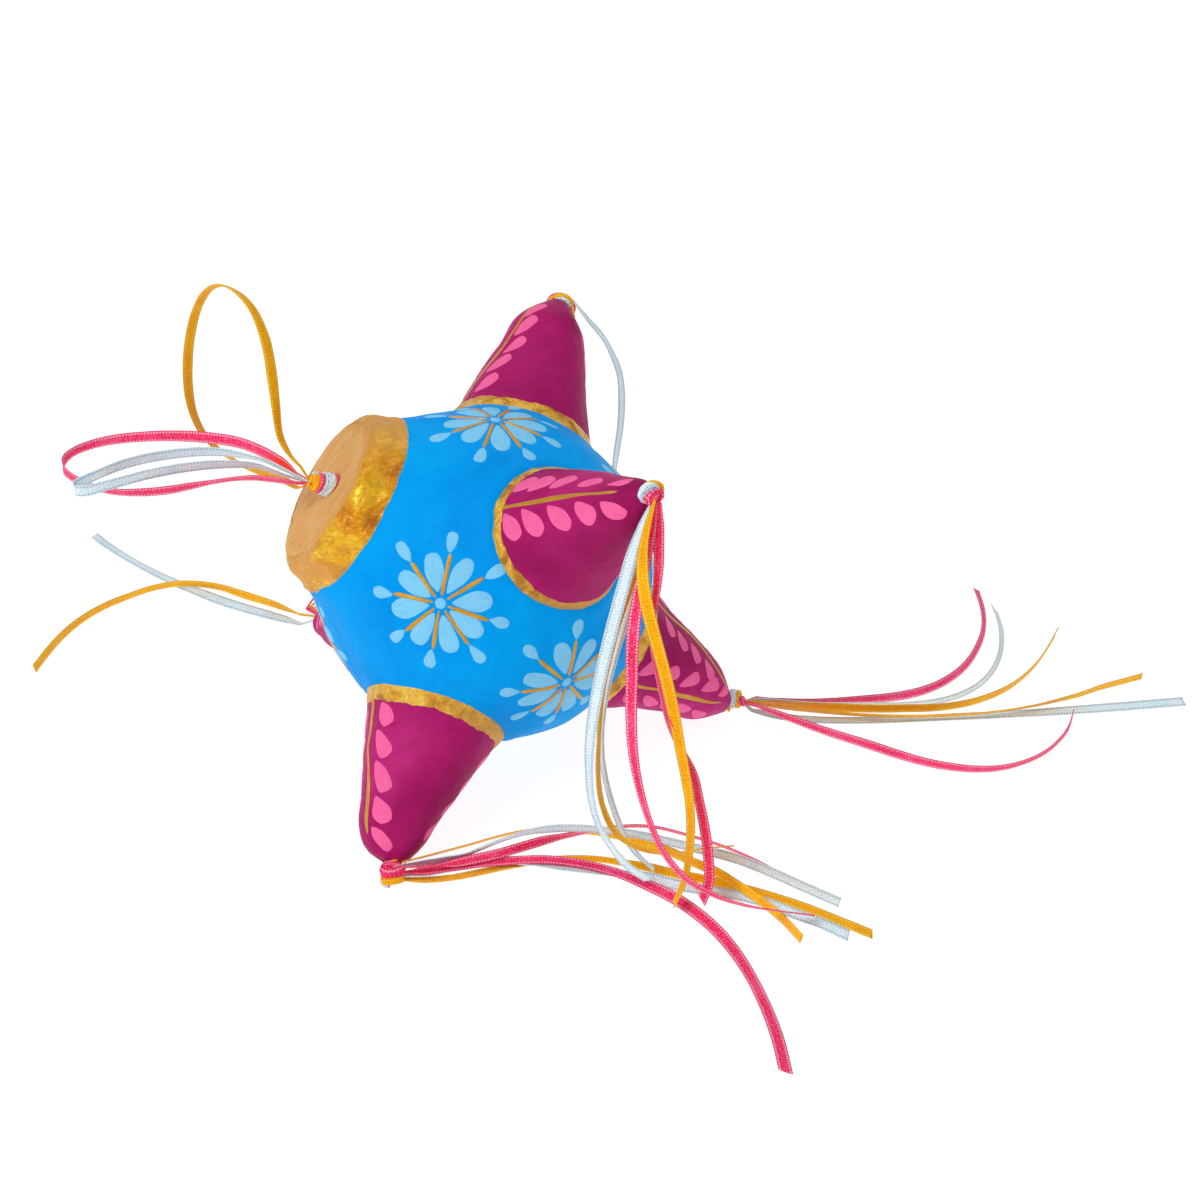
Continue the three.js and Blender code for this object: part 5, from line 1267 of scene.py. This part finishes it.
def gilt_ring(shell, cone, name):
    """The leaf where the cone meets the globe."""
    around = circle(RING_SEGMENTS)
    uneven = 0.24 * np.sin(around * 5 + ord(name)) + 0.16 * np.sin(around * 13)
    uneven = uneven + 0.09 * np.sin(around * 29 + ord(name)) + 0.06 * np.sin(around * 47)
    low = cone.foot - RING_DEPTH
    high = cone.foot + RING_WIDTH[name] + uneven
    heights = low + (high - low)[:, None] * (RING_ACROSS + 1) / 2
    around = around[:, None]
    crumple = np.maximum(lump(cone.surface(heights, around), LEAF_WAVES), -0.1)
    lift = 0.3 - 0.38 * np.abs(RING_ACROSS) ** 6 + crumple * (1 - RING_ACROSS ** 2)
    shell.add(cone.surface(heights, around, lift),
              grid(RING_SEGMENTS, len(RING_ACROSS), True, False)[:, ::-1], 3,
              stacked(around / (2 * math.pi), RING_ACROSS / 2))


def build_cone(name):
    cone = Cone(name)
    shell = Shell()
    rows = np.linspace(cone.start, cone.reach, CONE_ROWS[0])
    angle = circle(CONE_SEGMENTS)
    outer = cone.surface(rows[:, None], angle)
    inside = np.linspace(cone.reach - 0.05, cone.foot, CONE_ROWS[1])[:, None]
    wall = np.minimum(CONE_WALL, cone.radius(inside) - CONE_HOLE_RADIUS)
    points = np.concatenate([outer, cone.surface(inside, angle, -wall)])
    shell.add(points, grid(len(points), CONE_SEGMENTS, True, True)[:, ::-1])
    for index, line in enumerate(LINES[name]):
        painted_line(shell, cone, line, LINE_HALF_WIDTH[name])
        for side in (1, -1):
            key = (name, index, side)
            for values in LEAVES.get(key) or usual_leaves(cone, line, side):
                leaf(shell, cone, *values, BROAD_LEAVES.get(key, LEAF_WIDTH))
    gilt_ring(shell, cone, name)
    piece = shell.make("paper_cone_" + name, [MAGENTA, LEAF_PINK, LINE_GOLD, RING_GOLD])
    belongs(piece, "cone_" + name)


for name in CONES:
    build_cone(name)

# Cap

# Angle round the cap and how far the rim stands out there, as the photograph shows it.
CAP_RIM = ((-180, 1.3), (-158, 1.5), (-140, 1.1), (-120, 0.3), (-97, 0.5), (-75, -0.2),
           (-58, 0.5), (-35, -0.3), (-12, 0.5), (12, -0.1), (38, 0.6), (62, -0.2), (85, 0.6),
           (105, -0.2), (122, 0.5), (143, 0.1), (163, 1.5), (180, 1.3))
CAP_SEAT = NECK_HEIGHT - 0.6
CAP_SEGMENTS = 240
# Radius and height of the cap's side, from its seat to the flat face.
CAP_SIDE = (
    (NECK_RADIUS + 0.3, CAP_SEAT), (24.0, CAP_SEAT + 1.4), (23.2, CAP_SEAT + 3.0),
    (22.5, CAP_SEAT + 4.8), (22.0, CAP_SEAT + 6.2), (21.3, CAP_SEAT + 7.4),
    (20.1, CAP_FACE_HEIGHT - 1.1), (18.5, CAP_FACE_HEIGHT - 0.45), (16.8, CAP_FACE_HEIGHT - 0.1),
)
CAP_INSIDE = ((0.0, CAP_FACE_HEIGHT - CAP_WALL), (18.1, CAP_FACE_HEIGHT - CAP_WALL),
              (20.9, CAP_SEAT + 0.4))


def build_cap():
    side = smooth_line([(radius, 0, height) for radius, height in CAP_SIDE])[0][::4, [0, 2]]
    radii = np.linspace(CAP_FACE_RADIUS, 0.0, 44)
    face = stacked(radii, CAP_FACE_HEIGHT)
    outline = np.vstack([side, face, CAP_INSIDE])
    rows = np.arange(len(outline))
    turn = np.arange(CAP_SEGMENTS) / CAP_SEGMENTS
    local = turned(outline, CAP_SEGMENTS, np.eye(3))
    # The rim's lobes grow with the height, and fade out towards the middle of the face.
    lobes = evened(look_up((turn * 360 + 180) % 360 - 180, CAP_RIM), 5, "wrap")
    rise = np.clip((outline[:, 1] - NECK_HEIGHT) / CAP_HEIGHT, 0, 1)[:, None]
    on_rim = np.clip((outline[:, 0] - 12) / 7, 0, 1)[:, None]
    outward = unit(local * np.array([1, 1, 0]) + np.array([1e-9, 0, 0]))
    local = local + outward * (rise * lobes * on_rim)[..., None]
    # The leaf on the side is crumpled, and the face brushed, uneven and a little dished.
    is_side = np.where(rows < len(side), np.clip(rows / 8, 0, 1), 0)[:, None]
    crumple = lump(local, CRUMPLE_WAVES) + lump(local, LEAF_WAVES) * 0.5
    local = local + outward * (crumple * is_side)[..., None]
    is_face = ((rows >= len(side) - 8) & (rows < len(side) + len(face)))[:, None]
    uneven = lump(local + 30, HAND_WAVES) * 0.6 + lump(local, CRUMPLE_WAVES) * 0.35 - 0.3
    local[..., 2] += uneven * is_face
    away = np.hypot(local[..., 0] - CAP_HOLE[0], local[..., 1] - CAP_HOLE[1])
    local[..., 2] -= 0.5 * is_face * np.clip(1.3 - away / 2.2, 0, 1) ** 0.7
    # The face, the top of the side and the inside take the tan copy of the gold, which is painted
    # shade for the face's dim reflection.
    slots = np.where(np.repeat(rows, CAP_SEGMENTS) < len(side) - 6, 0, 1)
    # The side's texture place starts opposite the leaf's painted highlight, so its seam is behind.
    places = local[..., 1::-1] / TEXTURE_STEP
    places[:len(side), :, 0] = np.where(turn < 0.625, turn + 0.375, turn - 0.625)
    places[:len(side), :, 1] = side[:, 1:] / TEXTURE_STEP
    shell = Shell()
    shell.add(local @ CAP_BASIS + STAR_CENTRE, grid(len(outline), CAP_SEGMENTS, True, True),
              slots, places)
    belongs(merged(shell.make("gilt_cap", [CAP_GOLD, SHADED_CAP_GOLD])), "cap")


build_cap()

# Knots

TURN_SEGMENTS = 84
NECK_SEGMENTS = 56
# The gathered ribbon starts this far inside the mouth, runs out of it in two lengths that
# overlap there, and has these radii in them.
GATHER_DEPTH = 3.0
GATHER_OVERLAP = (0.2, 0.6)
GATHER_RADII = (1.5, 1.45)


def turn(shell, origin, middle, axis, radius, width, phase):
    """A closed turn of folded ribbon about an axis, with gathered ribbon that fills it."""
    along = unit(axis)
    aside = unit(np.cross(along, (0.25, 1.0, 0.15)))
    basis = np.array([aside, np.cross(along, aside), along]) @ VIEW
    place = origin + np.asarray(middle) @ VIEW
    around = circle(TURN_SEGMENTS)[:, None]
    pleat = 0.09 * np.cos(BAND * 5.5 + around * 4 + phase) - 0.3 * width / 2.4 * BAND ** 2
    reach = radius * (1 + 0.035 * np.sin(around * 3 + phase)) + pleat + WOUND_SKIN
    height = BAND * width / 2 + 0.07 * width * np.sin(around * 2 + phase)
    ring = stacked(reach * np.cos(around), reach * np.sin(around), height)
    shell.add(ring @ basis + place, grid(TURN_SEGMENTS, len(BAND), True, True)[:, ::-1], 0,
              stacked(around * radius, BAND_SHARE))
    # The filling bulges a little over both edges of the turn.
    half = width / 2
    profile = np.array([
        (0.0, -half - 0.22), (0.4, -half - 0.2), (0.75, -half - 0.1), (0.93, -half * 0.75),
        (0.95, 0.0), (0.93, half * 0.75), (0.75, half + 0.1), (0.4, half + 0.2),
        (0.0, half + 0.22),
    ])
    share, level = profile[:, :1], profile[:, 1:]
    around = around.T
    spoke = np.cos(around * 8 + share * 4 + phase)
    reach = share * (radius - 0.12) * (1 + 0.03 * spoke)
    height = level + 0.12 * spoke * share * np.sign(level)
    fill = stacked(reach * np.cos(around), reach * np.sin(around), height)
    shell.add(fill @ basis + place, tube(len(profile), TURN_SEGMENTS), 0,
              stacked(share * radius, 0.5 + around / 14))


def loose_turn(shell, origin, middle, width, spots):
    """A bit of ribbon through the spots, its face turned away from the knot's middle."""
    line = smooth_line(spots)[0][::3]
    ahead = unit(np.gradient(line, axis=0))
    out = line - middle
    out = unit(out - ahead * np.sum(out * ahead, 1)[:, None])
    beside = np.cross(ahead, out)
    run = distances(line)[:, None]
    pleat = 0.08 * np.cos(BAND * 5 + run) - 0.25 * BAND ** 2
    strip = line[:, None] + beside[:, None] * BAND[:, None] * (width / 2)
    strip = strip + out[:, None] * (WOUND_SKIN + pleat)[..., None]
    shell.add(strip @ VIEW + origin, band(len(line)), 0, stacked(run, BAND_SHARE))


def neck(shell, start, end, radius):
    """Gathered ribbon from inside the mouth to the first turn."""
    along = unit(end - start)
    aside = unit(np.cross(along, (0.1, 0.2, 1.0)))
    beside = np.cross(along, aside)
    share = np.array([0.0, 0.02, 0.2, 0.5, 0.8, 0.98, 1.0])[:, None]
    size = radius * np.array([0.0, 0.85, 1.0, 0.88, 1.0, 0.9, 0.0])[:, None]
    around = circle(NECK_SEGMENTS)
    reach = (size * (1 + 0.09 * np.cos(around * 7 + share * 3)))[..., None]
    place = share * np.linalg.norm(end - start)
    body = start + along * place[..., None]
    body = body + reach * (np.cos(around)[:, None] * aside + np.sin(around)[:, None] * beside)
    shell.add(body, tube(len(share), NECK_SEGMENTS), 1, stacked(place, 0.5 + around / 14))


def build_knot(name):
    origin, out = mouth(name)
    turns = TURNS[name]
    middle = np.mean([values[1] for values in turns], axis=0)
    for colour in RIBBONS:
        shell = Shell()
        for index, (wound, *values) in enumerate(turns):
            if wound == colour:
                turn(shell, origin, *values, index * 1.7 + len(name))
        for wound, *values in LOOSE_TURNS.get(name, ()):
            if wound == colour:
                loose_turn(shell, origin, middle, *values)
        if colour == turns[0][0]:
            inside = origin - out * (GATHER_DEPTH + KNOT_RISE.get(name, 0.0))
            first_turn = origin + np.array(turns[0][1]) @ VIEW
            neck(shell, inside, origin + out * GATHER_OVERLAP[0], GATHER_RADII[0])
            neck(shell, origin - out * GATHER_OVERLAP[1], first_turn, GATHER_RADII[1])
        piece = shell.make(f"wound_{name}_{colour}", [RIBBONS[colour], RIBBONS[NECKS[name]]])
        belongs(merged(piece), f"knot_{name}_{colour}")


for name in TURNS:
    build_knot(name)

# Floor and light

FLOOR_SIZE = 3000.0
FLOOR_DROP = 0.05
# The lamps and their places are in metres.
LIGHT_TARGET = (0, 0, 0.05)
WORLD_STRENGTH = 0.42


def lit_floor(name):
    """White paper, lit from below like a product table, so only a faint shadow shows."""
    made = Nodes(name)
    tone = made.ramp(made.noise(60.0, 3.0), (0.3, linear((122, 123, 124))),
                     (0.7, linear((128, 129, 130))))
    return made.finish(
        Base_Color=tone, Roughness=0.9, Specular_IOR_Level=0.0,
        Emission_Color=(1.0, 1.0, 1.0, 1.0), Emission_Strength=0.9,
    )


def area_light(name, place, size, power):
    """A lamp of this size and power in watts at this place, turned to the star."""
    data = bpy.data.lights.new(name, "AREA")
    data.shape = "RECTANGLE"
    data.size, data.size_y = size
    data.energy = power
    made = linked(name, data)
    ahead = unit(np.array(LIGHT_TARGET) - np.array(place))
    right = unit(np.cross(ahead, (0, 0, 1)))
    made.matrix_world = pose([right, np.cross(right, ahead), -ahead], place)


floor = Shell()
floor.add([(x * FLOOR_SIZE, y * FLOOR_SIZE, -FLOOR_DROP)
           for x, y in ((-1, -1), (1, -1), (1, 1), (-1, 1))], [(0, 1, 2, 3)])
floor.make("floor", [lit_floor("floor_white")])
area_light("key", (-0.9, -0.7, 1.5), (0.9, 0.9), 16.0)
area_light("fill", (1.2, -0.9, 0.9), (1.1, 1.1), 1.8)
area_light("back", (0.2, 1.3, 1.1), (1.4, 0.8), 4.0)
world = bpy.data.worlds.new("studio")
world.use_nodes = True
world.node_tree.nodes["Background"].inputs[0].default_value = (1, 1, 1, 1)
world.node_tree.nodes["Background"].inputs[1].default_value = WORLD_STRENGTH
bpy.context.scene.world = world
